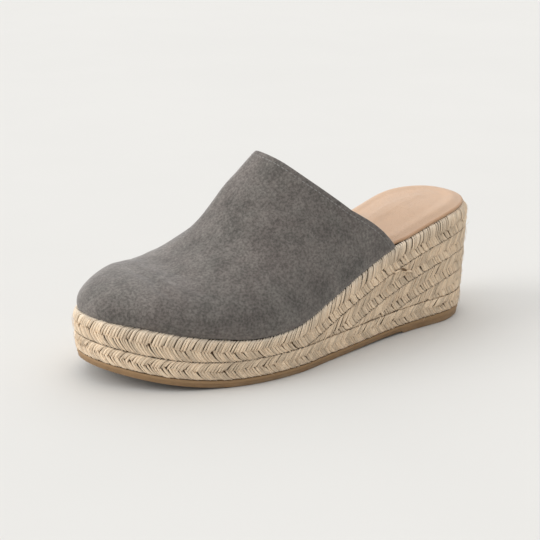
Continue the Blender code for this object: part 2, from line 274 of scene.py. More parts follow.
def rounded(s, power):
    """Rise from 0 to 1 along a rounded end, s being the share of the end's length."""
    return (1 - (1 - np.clip(s, 0, 1)) ** power) ** (1 / power)


def cap(t):
    """Share of the full width that the rounded heel and toe leave at a station."""
    heel = rounded(t * LENGTH / HEEL_ROUND, HEEL_POWER)
    toe = rounded((1 - t) * LENGTH / TOE_ROUND, TOE_POWER)
    return heel * toe


def centre(t):
    """y of the centre line of the wedge."""
    return BALL_WIDTH * column("centre", t)


def half_width(t, inset):
    """Half the width of the wedge, less inset, rounded off at both ends."""
    return (BALL_WIDTH / 2 * column("width", t) - inset) * cap(t)


def toe_lift(t):
    """How far the toe springs up from the floor."""
    reach = TOE_SPRING_REACH / LENGTH
    return TOE_SPRING * np.clip((t - 1 + reach) / reach, 0, 1) ** 1.8


def braid_top(t):
    """Height of the top of the braid."""
    return PLATFORM + (HEEL_HEIGHT - PLATFORM) * column("rise", t) + toe_lift(t)


def sole_under(t):
    """Underside of the outsole: flat heel and forefoot, lifted waist, toe spring."""
    breast = HEEL_BREAST / LENGTH
    slope = BREAST_SLOPE / LENGTH
    tread = TREAD_BACK / LENGTH
    waist = ease((tread - t) / (tread - breast)) * np.clip((t - breast) / slope, 0, 1)
    return ARCH_LIFT * waist + toe_lift(t)


def sole_top(t):
    """Height of the outsole's top, thicker under the heel."""
    heel = ease(1 - t * LENGTH / TREAD_BACK)
    return toe_lift(t) + SOLE_THICK + (HEEL_SOLE_THICK - SOLE_THICK) * heel


def base_top(t):
    """Height of the top of the base row."""
    return sole_top(t) + GAP + BASE_ROW


def along(t, z, inset):
    """x of a station at a height: the ends stand in by inset, and more near the floor."""
    low = np.clip(1 - z / braid_top(t), 0, 1)
    heel = ease(1 - t * LENGTH / LEAN_REACH)
    toe = ease(1 - (1 - t) * LENGTH / LEAN_REACH)
    return (0.5 - t) * (LENGTH - 2 * inset) + low * (TOE_TUCK * toe - HEEL_RAKE * heel)


def toe_ledge(t):
    """How much more the upper and the footbed stand in towards the tip of the toe."""
    corner = OUTER_CORNER / LENGTH
    return TOE_LEDGE * np.clip((t - corner) / (1 - corner), 0, 1) ** 2


def outline_middle():
    """y half way across the wedge, so that the shoe stands centred on the origin."""
    t = np.linspace(0, 1, 400)
    return ((centre(t) + half_width(t, 0)).max() + (centre(t) - half_width(t, 0)).min()) / 2


MIDDLE = outline_middle()


def side_point(t, z, inset, side):
    """Point of the outline, side -1 on the foot's outer side and 1 on its inner one."""
    y = centre(t) + side * half_width(t, inset) - MIDDLE
    return np.stack([along(t, z, inset), y, z], -1)


def row_pitch(t):
    """From the top of one row to the next."""
    return np.maximum(ROW_HEIGHT, (braid_top(t) - base_top(t)) / (ROWS - 1))


def row_top(row, t):
    """Top of a row of braid: the base row follows the outsole, the others the footbed."""
    if row == 1:
        return base_top(t)
    return braid_top(t) - (ROWS - row) * row_pitch(t)


def row_end(row, tip):
    """Station where a row's height above the base row falls to tip."""
    if row in (1, ROWS):
        return 1.0
    low = 0.05
    high = 0.95
    for _ in range(40):
        middle = (low + high) / 2
        if row_top(row, middle) - base_top(middle) > tip:
            low = middle
        else:
            high = middle
    return low


def upper_point(u, over):
    """Outer face of the upper, u from the toe to the collar and over from outer to inner side."""
    u = np.asarray(u, float)
    reach = 0.35 * (1 - np.cos(u * np.pi / 2)) + 0.65 * u**1.6
    t_outer = 1 - reach * (1 - OUTER_CORNER / LENGTH)
    t_inner = 1 - reach * (1 - INNER_CORNER / LENGTH)
    t_ridge = 1 - reach * (1 - THROAT_FROM_HEEL / LENGTH)
    ledge = toe_ledge(t_outer)
    outer = side_point(t_outer, braid_top(t_outer) + GAP, FEATHER_MARGIN, -1)
    inner = side_point(t_inner, braid_top(t_inner) + GAP, FEATHER_MARGIN, 1)
    box = rounded((1 - t_ridge) * LENGTH / TOE_BOX, TOE_BOX_POWER)
    ridge_z = braid_top(t_ridge) + THROAT * column("ridge", t_ridge) * box
    ridge_x = (0.5 - t_ridge) * (LENGTH - 2 * FEATHER_MARGIN)
    ridge_y = centre(t_ridge) - MIDDLE + RIDGE_SIDE * np.minimum(1, 4 * reach)
    is_outer = over <= 0.5
    collar_shape = np.where(is_outer, COLLAR_OUTER_SHAPE, COLLAR_INNER_SHAPE)
    power = 2 / (TOE_SHAPE + (collar_shape - TOE_SHAPE) * reach)
    up = np.sin(np.pi * over) ** power
    aside = np.abs(np.cos(np.pi * over)) ** power
    belly = SIDE_BELLY * np.sin(2 * np.pi * over) * np.minimum(1, 5 * reach)
    foot = np.where(is_outer[..., None], outer, inner)
    x = foot[..., 0] + (ridge_x - foot[..., 0]) * up + ledge
    y = ridge_y + (foot[..., 1] - ridge_y) * aside - belly
    z = foot[..., 2] + (ridge_z - foot[..., 2]) * up
    return np.stack([x, y, z], -1)


def upper_normal(u, over):
    """Outward unit normal of the upper's outer face."""
    step = 0.002
    u_mid = np.maximum(u, step)
    over_low = np.maximum(over - step, 1e-4)
    over_high = np.minimum(over + step, 1 - 1e-4)
    along_u = upper_point(np.minimum(u + step, 1), over) - upper_point(np.maximum(u - step, step), over)
    across = upper_point(u_mid, over_high) - upper_point(u_mid, over_low)
    return unit(np.cross(along_u, across))


def gusset_edges(u):
    """The gusset's front and back edge across the foot: one line up to its foot, then a V."""
    s = np.clip((u - GUSSET_FOOT) / (1 - GUSSET_FOOT), 0, 1)
    front = GUSSET_FOOT_OVER + (GUSSET_FRONT_OVER - GUSSET_FOOT_OVER) * s
    back = GUSSET_FOOT_OVER + (GUSSET_BACK_OVER - GUSSET_FOOT_OVER) * s
    return front, back


def unit(v):
    """Vectors of length one."""
    return v / np.maximum(np.linalg.norm(v, axis=-1, keepdims=True), 1e-12)


# Meshes and node trees


def linked(name, data):
    """A new object in the scene."""
    made = bpy.data.objects.new(name, data)
    bpy.context.scene.collection.objects.link(made)
    return made


def new_piece(name, points, faces, materials):
    """An object with a smooth mesh and its materials, at the origin."""
    mesh = bpy.data.meshes.new(name)
    mesh.from_pydata([tuple(p) for p in points], [], [tuple(int(i) for i in f) for f in faces])
    mesh.shade_smooth()
    for material in materials:
        mesh.materials.append(material)
    piece = linked(name, mesh)
    return piece


def mesh_of(piece):
    """The mesh of an object that isn't needed itself."""
    mesh = piece.data
    bpy.data.objects.remove(piece)
    return mesh


def face_outwards(piece):
    """Turns the faces of a closed mesh outwards."""
    bm = bmesh.new()
    bm.from_mesh(piece.data)
    bmesh.ops.recalc_face_normals(bm, faces=bm.faces)
    bm.to_mesh(piece.data)
    bm.free()


def set_attribute(piece, name, kind, values):
    """Stores one value for each vertex, a FLOAT or a FLOAT_VECTOR."""
    layer = piece.data.attributes.new(name, kind, "POINT")
    field = "vector" if kind == "FLOAT_VECTOR" else "value"
    layer.data.foreach_set(field, np.asarray(values, np.float32).ravel())


def cosine_stations(count, end=1.0):
    """Stations from the heel to an end, closer together at both."""
    return end * (1 - np.cos(np.linspace(0, np.pi, count + 1))) / 2


def ring_faces(rings, sides):
    """Quads between closed rings of points that follow one another."""
    faces = []
    for k in range(rings - 1):
        for i in range(sides):
            j = (i + 1) % sides
            faces.append((k * sides + i, k * sides + j, (k + 1) * sides + j, (k + 1) * sides + i))
    return faces


def ring_loft(ts, levels, blunt=False):
    """Points and faces of a closed loft of rings about the shoe, and the ring of each point."""
    last = len(ts) - 1
    points = []
    for level in levels:
        outer = side_point(ts, level.z, level.inset, -1)
        inner = side_point(ts, level.z, level.inset, 1)
        points.extend(outer)
        points.extend(inner[last:0:-1] if blunt else inner[last - 1:0:-1])
    ring = len(points) // len(levels)
    faces = ring_faces(len(levels), ring)
    for start in (0, (len(levels) - 1) * ring):
        for i in range(last):
            quad = [start + i, start + i + 1, start + (ring - i - 1) % ring, start + (ring - i) % ring]
            faces.append(tuple(dict.fromkeys(quad)))
    ring_of_point = np.repeat(np.arange(len(levels)), ring)
    return np.array(points), faces, ring_of_point


class Wire:
    """A value in a node tree. Arithmetic on it adds math nodes."""

    def __init__(self, tree, socket):
        self.tree = tree
        self.socket = socket

    def __add__(self, other):
        return self.tree.math("ADD", self, other)

    def __sub__(self, other):
        return self.tree.math("SUBTRACT", self, other)

    def __rsub__(self, other):
        return self.tree.math("SUBTRACT", other, self)

    def __mul__(self, other):
        return self.tree.math("MULTIPLY", self, other)

    def __truediv__(self, other):
        return self.tree.math("DIVIDE", self, other)

    def __rtruediv__(self, other):
        return self.tree.math("DIVIDE", other, self)

    def __pow__(self, other):
        return self.tree.math("POWER", self, other)

    def __mod__(self, other):
        return self.tree.math("MODULO", self, other)

    def __gt__(self, other):
        return self.tree.math("GREATER_THAN", self, other)

    def __lt__(self, other):
        return self.tree.math("LESS_THAN", self, other)

    def __abs__(self):
        return self.tree.math("ABSOLUTE", self)


class Tree:
    """Adds nodes to a node tree and joins them."""

    def __init__(self, tree):
        self.tree = tree

    def add(self, kind, inputs=None, **settings):
        """A new node with its settings and inputs."""
        node = self.tree.nodes.new(kind)
        for name, value in settings.items():
            setattr(node, name, value)
        for name, value in (inputs or {}).items():
            self.feed(self.socket(node, name), value)
        return node

    def socket(self, node, name):
        """An input by its number, or the one in use that has the name."""
        if isinstance(name, int):
            return node.inputs[name]
        return next(s for s in node.inputs if s.name == name and s.enabled)

    def feed(self, socket, value):
        """Joins a wire to an input, or sets a plain value on it."""
        if isinstance(value, Wire):
            self.tree.links.new(value.socket, socket)
        else:
            socket.default_value = value

    def outs(self, kind, inputs=None, **settings):
        """The outputs in use of a new node, by name."""
        node = self.add(kind, inputs, **settings)
        return {s.name: Wire(self, s) for s in node.outputs if s.enabled}

    def out(self, kind, inputs=None, **settings):
        """The first output in use of a new node."""
        return next(iter(self.outs(kind, inputs, **settings).values()))

    def math(self, operation, *values):
        return self.out("ShaderNodeMath", dict(enumerate(values)), operation=operation)

    def vmath(self, operation, *values):
        return self.out("ShaderNodeVectorMath", dict(enumerate(values)), operation=operation)

    def scaled(self, vector, scale):
        return self.out("ShaderNodeVectorMath", {"Vector": vector, "Scale": scale}, operation="SCALE")

    def sine(self, value):
        return self.math("SINE", value)

    def xyz(self, x, y, z):
        return self.out("ShaderNodeCombineXYZ", {"X": x, "Y": y, "Z": z})

    def split(self, vector):
        return self.outs("ShaderNodeSeparateXYZ", {"Vector": vector})

    def mapped(self, value, low, high, to_low=0.0, to_high=1.0):
        """A value moved smoothly from one range to another."""
        ranges = {"Value": value, "From Min": low, "From Max": high, "To Min": to_low, "To Max": to_high}
        return self.out("ShaderNodeMapRange", ranges, interpolation_type="SMOOTHSTEP")

    def mix(self, share, first, second, blend="MIX"):
        """Mix of two colours."""
        inputs = {"Factor": share, "A": first, "B": second}
        return self.out("ShaderNodeMix", inputs, data_type="RGBA", blend_type=blend)

    def noise(self, vector, scale, detail, roughness=0.5):
        inputs = {"Vector": vector, "Scale": scale, "Detail": detail, "Roughness": roughness}
        return self.out("ShaderNodeTexNoise", inputs)

    def read(self, name, kind="FLOAT"):
        """A value that the mesh carries."""
        return self.out("GeometryNodeInputNamedAttribute", {"Name": name}, data_type=kind)

    def store(self, geometry, values, kind="FLOAT"):
        """The geometry with each value stored on its points under its name."""
        for name, value in values.items():
            inputs = {"Geometry": geometry, "Name": name, "Value": value}
            geometry = self.out("GeometryNodeStoreNamedAttribute", inputs, data_type=kind, domain="POINT")
        return geometry

    def spread(self, points, shape, rotation=(0.0, 0.0, 0.0), scale=(1.0, 1.0, 1.0)):
        """A copy of a shape on each point, as real mesh."""
        inputs = {"Points": points, "Instance": shape, "Rotation": rotation, "Scale": scale}
        copies = self.out("GeometryNodeInstanceOnPoints", inputs)
        return self.out("GeometryNodeRealizeInstances", {"Geometry": copies})

    def without(self, geometry, dropped):
        """The geometry without the points that are dropped."""
        inputs = {"Geometry": geometry, "Selection": dropped}
        return self.out("GeometryNodeDeleteGeometry", inputs, domain="POINT")

    def end_with(self, geometry, material, result):
        """Smooth shading and the material end a tree that makes a piece."""
        smooth = self.out("GeometryNodeSetShadeSmooth", {"Geometry": geometry})
        done = self.out("GeometryNodeSetMaterial", {"Geometry": smooth, "Material": material})
        self.feed(result.inputs["Geometry"], done)


SOCKET_KINDS = {
    "geometry": "NodeSocketGeometry",
    "float": "NodeSocketFloat",
    "int": "NodeSocketInt",
    "vector": "NodeSocketVector",
    "material": "NodeSocketMaterial",
}


def new_group(name, kind, inputs, outputs):
    """A node group with named sockets: the helper for its nodes, its inputs and its output node."""
    group = bpy.data.node_groups.new(name, kind)
    for way, sockets in (("INPUT", inputs), ("OUTPUT", outputs)):
        for socket, socket_kind in sockets.items():
            group.interface.new_socket(name=socket, in_out=way, socket_type=SOCKET_KINDS[socket_kind])
    tree = Tree(group)
    return tree, tree.outs("NodeGroupInput"), tree.add("NodeGroupOutput")


def grown(guide, group, values):
    """The plain mesh that a tree makes from a guide object, whose own mesh is used up."""
    modifier = guide.modifiers.new(group.name, "NODES")
    modifier.node_group = group
    for item in group.interface.items_tree:
        if item.in_out == "INPUT" and item.name in values:
            modifier[item.identifier] = values[item.name]
    depsgraph = bpy.context.evaluated_depsgraph_get()
    mesh = bpy.data.meshes.new_from_object(guide.evaluated_get(depsgraph))
    guide.modifiers.remove(modifier)
    bpy.data.objects.remove(guide)
    return mesh


def joined(name, meshes):
    """One piece from several meshes, each with its own materials."""
    parts = [linked(name, mesh) for mesh in meshes]
    with bpy.context.temp_override(active_object=parts[0], selected_editable_objects=parts):
        bpy.ops.object.join()
    piece = parts[0]
    piece.name = name
    return piece


def place(piece, *nodes):
    """The piece rides on the shoe's one body and stands for its solids."""
    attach(piece, "root")
    if nodes:
        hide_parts(*nodes)


# Shader groups that several finishes share


def mottle_group():
    """Cloudy variation in three sizes, and a fine grain, on the piece's own coordinates."""
    name = "soft_mottle"
    if name in bpy.data.node_groups:
        return bpy.data.node_groups[name]
    inputs = {"Vector": "vector", "Patch Size": "float", "Grain Size": "float"}
    tree, given, result = new_group(name, "ShaderNodeTree", inputs, {"Clouds": "float", "Grain": "float"})
    clouds = []
    for size, weight in ((1.0, 0.5), (0.33, 0.3), (0.12, 0.2)):
        scale = 1.0 / (given["Patch Size"] * size)
        clouds.append(tree.noise(given["Vector"], scale, 3.0) * weight)
    cloud = clouds[0] + clouds[1] + clouds[2]
    grain = tree.noise(given["Vector"], 1.0 / given["Grain Size"], 4.0, 0.65)
    tree.feed(result.inputs["Clouds"], tree.mapped(cloud, 0.34, 0.66))
    tree.feed(result.inputs["Grain"], grain)
    return tree.tree


def dust_group():
    """Mask of the light dust that gathers low on the side, in patches."""
    name = "low_dust"
    if name in bpy.data.node_groups:
        return bpy.data.node_groups[name]
    inputs = {"Vector": "vector", "Height": "float"}
    tree, given, result = new_group(name, "ShaderNodeTree", inputs, {"Dust": "float"})
    low = tree.mapped(tree.split(given["Vector"])["Z"], given["Height"], 0.0)
    patches = tree.mapped(tree.noise(given["Vector"], 140.0, 4.0), 0.35, 0.7)
    tree.feed(result.inputs["Dust"], low * patches)
    return tree.tree


class Finish:
    """A material with its Principled shader, object coordinates and the shared groups."""

    def __init__(self, name, colour, roughness):
        self.material = bpy.data.materials.new(name)
        self.material.use_nodes = True
        self.material.diffuse_color = (*colour, 1)
        self.tree = Tree(self.material.node_tree)
        self.shader = self.material.node_tree.nodes["Principled BSDF"]
        self.set("Roughness", roughness)
        self.where = self.tree.outs("ShaderNodeTexCoord")["Object"]

    def set(self, name, value):
        self.tree.feed(self.shader.inputs[name], value)

    def mottle(self, patch, grain, vector=None):
        inputs = {"Vector": vector or self.where, "Patch Size": patch, "Grain Size": grain}
        return self.tree.outs("ShaderNodeGroup", inputs, node_tree=mottle_group())

    def clouded(self, mottle, colour, dark, light):
        """The colour between two shares of itself, after the mottle's clouds."""
        return self.tree.mix(mottle["Clouds"], rgb(colour, dark), rgb(colour, light))

    def dust(self, height):
        inputs = {"Vector": self.where, "Height": height}
        return self.tree.out("ShaderNodeGroup", inputs, node_tree=dust_group())

    def attribute(self, name, output="Fac"):
        return self.tree.outs("ShaderNodeAttribute", attribute_name=name)[output]

    def bump(self, height, distance, strength=1.0, below=None):
        inputs = {"Height": height, "Distance": distance, "Strength": strength}
        if below:
            inputs["Normal"] = below
        return self.tree.out("ShaderNodeBump", inputs)


def rgb(colour, factor=1.0):
    """The colour for a socket, times a factor."""
    return (*(c * factor for c in colour), 1.0)


def plain_finish(name, colour, roughness, patch, grain, dark, light, height, strength, shine=0.5):
    """A clouded colour over a fine grain, for what needs nothing more."""
    finish = Finish(name, colour, roughness)
    skin = finish.mottle(patch, grain)
    finish.set("Base Color", finish.clouded(skin, colour, dark, light))
    finish.set("Specular IOR Level", shine)
    finish.set("Normal", finish.bump(skin["Grain"], height, strength))
    return finish.material


def suede_finish(colour):
    """Napped grey suede: cloudy, warmer in places, finely specked, with a soft sheen."""
    finish = Finish("grey_suede", colour, 0.92)
    tree = finish.tree
    nap = finish.mottle(0.014, 0.0013)
    warm = finish.mottle(0.030, 0.0005, tree.vmath("ADD", finish.where, (0.3, 0.7, 0.1)))
    shade = finish.clouded(nap, colour, 0.72, 1.34)
    tinted = tree.mix(warm["Clouds"] * 0.36, shade, rgb(WARM_GREY))
    specks = tree.mapped(nap["Grain"], 0.34, 0.66, 0.72, 1.32)
    finish.set("Base Color", tree.mix(1.0, tinted, tree.xyz(specks, specks, specks), "MULTIPLY"))
    finish.set("Specular IOR Level", 0.18)
    finish.set("Sheen Weight", 0.62)
    finish.set("Sheen Roughness", 0.45)
    finish.set("Sheen Tint", rgb(NAP_SHEEN))
    coarse = finish.bump(nap["Clouds"], 0.0004, 0.35)
    finish.set("Normal", finish.bump(warm["Grain"], 0.00018, 0.8, coarse))
    return finish.material


def footbed_finish(colour, edge_colour):
    """Smooth leather with pores, browner along its rolled edge."""
    finish = Finish("footbed_leather", colour, 0.44)
    tree = finish.tree
    skin = finish.mottle(0.030, 0.0005)
    spots = {"Vector": finish.where, "Scale": 1400.0}
    pores = tree.out("ShaderNodeTexVoronoi", spots, feature="DISTANCE_TO_EDGE")
    tone = finish.clouded(skin, colour, 0.93, 1.05)
    rim = tree.mapped(finish.attribute("rim"), 0.60, 1.0)
    finish.set("Base Color", tree.mix(rim, tone, rgb(edge_colour)))
    finish.set("Roughness", tree.mapped(skin["Clouds"], 0.0, 1.0, 0.40, 0.52))
    finish.set("Specular IOR Level", 0.4)
    finish.set("Coat Weight", 0.08)
    finish.set("Coat Roughness", 0.35)
    fine = finish.bump(pores * 40.0, 0.00006, 0.35)
    finish.set("Normal", finish.bump(skin["Grain"], 0.0001, 0.25, fine))
    return finish.material


def straw_finish(colour, gap_shade_colour):
    """Jute strands: each with its own tone and fine fibres along it, painted shade that darkens them towards
    the gaps, and a painted highlight on the loops over the top edge.
    """
    finish = Finish("jute_straw", colour, 0.85)
    tree = finish.tree
    fibres = tree.noise(finish.attribute("lay", "Vector"), 1.0, 3.0, 0.6)
    bale = finish.mottle(0.020, 0.0016)
    level = finish.attribute("tone") * 0.45 + fibres * 0.75 + bale["Clouds"] * 0.25
    body = tree.mix(tree.mapped(level, 0.35, 1.05), rgb(colour, 0.76), rgb(colour, 1.20))
    body = tree.mix(tree.mapped(fibres, 0.60, 0.78, 0.0, 0.7), body, rgb(PALE_FIBRE))
    # Painted highlight: the top row's straws turn pale where they roll over its edge
    body = tree.mix(finish.attribute("pale") * 0.70, body, rgb(LOOP_HIGHLIGHT))
    # Painted shade: the deeper a point lies, the more its colour turns to a shaded brown and then to the
    # dark gap colour
    depth = finish.attribute("deep")
    body = tree.mix(tree.mapped(depth, 0.18, 0.66, 0.0, 0.36), body, rgb(SHADED_STRAW))
    finish.set("Base Color", tree.mix(tree.mapped(depth, 0.66, 1.05), body, rgb(gap_shade_colour)))
    finish.set("Specular IOR Level", 0.25)
    finish.set("Sheen Weight", 0.12)
    finish.set("Normal", finish.bump(fibres, 0.00035, 0.9))
    return finish.material


def rubber_finish(colour, line_highlight_colour):
    """Gum rubber: a moulded line along the top of the side, painted lighter as a highlight; dust in patches
    low on the side; the underside painted darker as contact shade.
    """
    finish = Finish("gum_rubber", colour, 0.55)
    tree = finish.tree
    gum = finish.mottle(0.012, 0.0005)
    share = finish.attribute("side")
    body = finish.clouded(gum, colour, 0.86, 1.12)
    # Painted highlight: the moulded line along the top of the side is lighter
    body = tree.mix(tree.mapped(share, 0.56, 0.66), body, rgb(line_highlight_colour))
    body = tree.mix(finish.dust(0.003) * 0.5, body, rgb(FLOOR_DUST))
    # Painted shade: the underside, where the sole meets the floor, is darkened to less than half its colour
    finish.set("Base Color", tree.mix(tree.mapped(share, 0.02, 0.0), body, rgb(colour, 0.45)))
    finish.set("Roughness", tree.mapped(gum["Grain"], 0.3, 0.7, 0.5, 0.68))
    finish.set("Normal", finish.bump(gum["Grain"], 0.00015, 0.5))
    return finish.material


def elastic_finish(colour):
    """Woven elastic: picks crossed by cords, a little fuzzy, its colour painted lighter on the weave's
    crests and darker in its dips as highlight and shade.
    """
    finish = Finish("grey_elastic", colour, 0.85)
    tree = finish.tree
    weave = tree.split(finish.attribute("weave", "Vector"))
    height = tree.sine(weave["X"] * (2 * math.pi)) * tree.sine(weave["Y"] * (2 * math.pi))
    fuzz = finish.mottle(0.008, 0.0004)
    # Painted highlight and shade: the colour follows the weave's height, lighter on the crests and darker in
    # the dips
    shade = tree.mix(tree.mapped(height, -1.0, 1.0), rgb(colour, 0.7), rgb(colour, 1.25))
    finish.set("Base Color", tree.mix(fuzz["Clouds"] * 0.3, shade, rgb(colour, 0.9)))
    finish.set("Normal", finish.bump(height, 0.0002, 0.8))
    return finish.material


# Geometry trees


def braid_group():
    """Straws of one row of braid, laid flat by rule and bent onto the row's guide.

    A straw runs from an edge of the row to just past its middle, where it dives under the
    straws of the other column. Two columns that lean the same way make the chevrons.
    """
    name = "braid_straws"
    if name in bpy.data.node_groups:
        return bpy.data.node_groups[name]
    inputs = {
        "Geometry": "geometry", "Straws": "int", "Row Length": "float", "Row Height": "float",
        "Straw Width": "float", "Straw Thickness": "float", "Slant": "float", "Bow": "float",
        "Dive": "float", "Edge Dive": "float", "Top Wrap": "float", "Looseness": "float",
        "Pits": "float", "Fibres": "int", "Seed": "int", "Straw Material": "material",
    }
    tree, given, result = new_group(name, "GeometryNodeTree", inputs, {"Geometry": "geometry"})
    ribbon = given["Geometry"]
    slant = given["Slant"]
    wrap = given["Top Wrap"]
    loose = given["Looseness"]
    thick = given["Straw Thickness"]
    guide = tree.read("guide", "FLOAT_VECTOR")
    outward = tree.read("out", "FLOAT_VECTOR")
    buried = tree.read("buried")
    where = tree.out("GeometryNodeInputPosition")
    index = tree.out("GeometryNodeInputIndex")
    edge = RIBBON_REACH / (1 + 2 * RIBBON_REACH)

    def guide_place(x, y):
        """Place on the guide of a point along and across the flat row, kept inside its edges."""
        u = tree.math("FRACT", x / given["Row Length"])
        v = (y / given["Row Height"] + (0.5 + RIBBON_REACH)) / (1 + 2 * RIBBON_REACH)
        v = tree.math("MINIMUM", tree.math("MAXIMUM", v, RIBBON_MARGIN), 1 - RIBBON_MARGIN)
        return tree.xyz(u, v, 0.0)

    def on_ribbon(value, kind, place_uv):
        inputs = {"Mesh": ribbon, "Value": value, "UV Map": guide, "Sample UV": place_uv}
        return tree.out("GeometryNodeSampleUVSurface", inputs, data_type=kind)

    def chance(low, high, salt):
        """A random value for each point, of its own series."""
        ranges = {"Min": low, "Max": high, "ID": index, "Seed": given["Seed"] + float(salt)}
        return tree.out("FunctionNodeRandomValue", ranges, data_type="FLOAT")

    pitch = given["Row Length"] / given["Straws"]
    half = given["Row Height"] * 0.5

    # One point for each straw, with its number, column and chances
    points = tree.out("GeometryNodeMeshLine", {"Count": given["Straws"] * 2.0, "Offset": (0.0, 0.0, 0.0)})
    number = tree.math("FLOOR", index / 2.0)
    points = tree.store(points, {
        "number": number,
        "side": index % 2.0 * 2.0 - 1.0,
        "tone": chance(0.0, 1.0, 1),
        "shift": chance(-1.0, 1.0, 2),
        "lift": chance(-1.0, 1.0, 3),
        "girth": chance(0.74, 1.12, 4),
        "spill": chance(0.4, 2.0, 10) * loose,
        "short": (chance(0.0, 1.0, 11) < given["Pits"]) * SHORT_STRAW,
    })
    number, side, tone, spill = (tree.read(each) for each in ("number", "side", "tone", "spill"))
    middle = guide_place(number * pitch, half * 0.5 * side)
    points = tree.without(points, on_ribbon(buried, "FLOAT", middle) > 0.5)
    straw = {"Vertices": 6, "Side Segments": 7, "Radius": 1.0, "Depth": 1.0}
    straws = tree.spread(points, tree.out("GeometryNodeMeshCylinder", straw))

    # Flat shape of a straw: s runs from the row's edge to its middle
    local = tree.split(where)
    s = local["Z"] + 0.5
    to_edge = 1.0 - s
    end = abs(s * 2.0 - 1.0)
    in_middle = s > 0.5
    upper_column = side > 0.0
    taper = tree.read("girth") * (1.0 - end**6.0 * in_middle * 0.4)
    run = half * STRAW_RUN
    slope = tree.math("SQRT", run**2.0 + slant**2.0)
    aside = local["X"] * taper * (given["Straw Width"] * 0.5)
    bundle = number % 3.0 - 1.0
    straw_x = (number + side * 0.25) * pitch + tree.read("shift") * loose
    straw_x = straw_x + (slant * s + given["Bow"] * tree.sine(s * math.pi))
    straw_x = straw_x - bundle * pitch * 0.03
    x = straw_x + side * run * aside / slope
    reach = (run + spill) * (1.0 - tree.read("short"))
    straw_y = side * (half + spill - reach * s)
    straw_y = straw_y + to_edge**2.0 * wrap * upper_column
    y = straw_y + slant * aside / slope
    proud = bundle * 0.25 + tree.read("lift") * 0.75 + local["X"] * 0.4
    deepest = given["Edge Dive"] + in_middle * (given["Dive"] - given["Edge Dive"])
    flesh = (local["Y"] * taper - 1.0) * 0.5
    z = proud * loose - end**3.0 * deepest + flesh * thick

    # Values that the finish reads: how deep a point lies, which it paints as shade, darker still at the
    # straws' outer ends along the joint between rows; a painted highlight on the loops over the top edge;
    # places along the fibres
    straws = tree.store(straws, {
        "deep": z * -1.0 / (given["Dive"] + thick) + to_edge**14.0 * 0.22,
        "pale": upper_column * (wrap > 0.0) * to_edge**3.0,
    })
    straws = tree.store(straws, {"lay": tree.xyz(s * 1.3, local["X"] * 3.2, tone * 90.0)}, "FLOAT_VECTOR")
    flat = guide_place(x, y)
    away = tree.vmath("NORMALIZE", on_ribbon(outward, "FLOAT_VECTOR", flat))
    spot = tree.vmath("ADD", on_ribbon(where, "FLOAT_VECTOR", flat), tree.scaled(away, z))
    straws = tree.out("GeometryNodeSetPosition", {"Geometry": straws, "Position": spot})

    # Loose fibres that stand off the row
    on_row = abs(tree.split(guide)["Y"] - 0.5) < 0.5 - edge
    clear = on_row * (buried < 0.25)
    inputs = {"Mesh": ribbon, "Selection": clear, "Density": 60000.0, "Seed": given["Seed"]}
    scatter = tree.outs("GeometryNodeDistributePointsOnFaces", inputs)
    spots = tree.without(scatter["Points"], 1.0 - (index < given["Fibres"]))
    hair = {"Vertices": 3, "Side Segments": 5, "Radius": 0.00007, "Depth": 1.0}
    hair = tree.out("GeometryNodeMeshCylinder", hair)
    sway = tree.sine(local["Z"] * 5.0) * 0.0005
    arch = 0.0005 - local["Z"] ** 2.0 * 0.0036
    bent = tree.xyz(local["Z"] * FIBRE_LENGTH, local["X"] + sway, local["Y"] + arch)
    hair = tree.out("GeometryNodeSetPosition", {"Geometry": hair, "Position": bent})
    turn = tree.xyz(chance(-0.3, 0.3, 5), chance(-0.3, 0.3, 6), chance(0.0, 2 * math.pi, 7))
    inputs = {"Rotation": scatter["Rotation"], "Rotate By": turn}
    stand = tree.out("FunctionNodeRotateRotation", inputs, rotation_space="LOCAL")
    size = chance(0.5, 1.25, 8)
    hairs = tree.spread(spots, hair, stand, tree.xyz(size, size, size))
    hairs = tree.store(hairs, {"tone": 0.9})
    hairs = tree.store(hairs, {"lay": tree.xyz(0.3, 0.1, chance(0.0, 40.0, 9))}, "FLOAT_VECTOR")

    both = tree.add("GeometryNodeJoinGeometry")
    tree.feed(both.inputs[0], straws)
    tree.feed(both.inputs[0], hairs)
    tree.end_with(Wire(tree, both.outputs[0]), given["Straw Material"], result)
    return tree.tree


def stitch_group():
    """Stitches end to end along a path of edges that carries its outward direction."""
    name = "thread_stitches"
    if name in bpy.data.node_groups:
        return bpy.data.node_groups[name]
    inputs = {
        "Geometry": "geometry", "Pitch": "float", "Stitch Length": "float", "Thread": "float",
        "Sink": "float", "Seed": "int", "Thread Material": "material",
    }
    tree, given, result = new_group(name, "GeometryNodeTree", inputs, {"Geometry": "geometry"})
    outward = tree.read("out", "FLOAT_VECTOR")
    path = tree.out("GeometryNodeMeshToCurve", {"Mesh": given["Geometry"]})
    path = tree.out("GeometryNodeResampleCurve", {"Curve": path, "Length": given["Pitch"]}, mode="LENGTH")
    axes = {0: tree.out("GeometryNodeInputTangent"), 1: outward}
    turn = tree.out("FunctionNodeAxesToRotation", axes, primary_axis="X", secondary_axis="Z")
    bead = tree.out("GeometryNodeMeshIcoSphere", {"Radius": 0.5, "Subdivisions": 2})
    ranges = {"Min": 0.85, "Max": 1.08, "Seed": given["Seed"]}
    length = given["Stitch Length"] * tree.out("FunctionNodeRandomValue", ranges, data_type="FLOAT")
    size = tree.xyz(length, given["Thread"], given["Thread"] * 0.8)
    tree.end_with(tree.spread(path, bead, turn, size), given["Thread Material"], result)
    return tree.tree


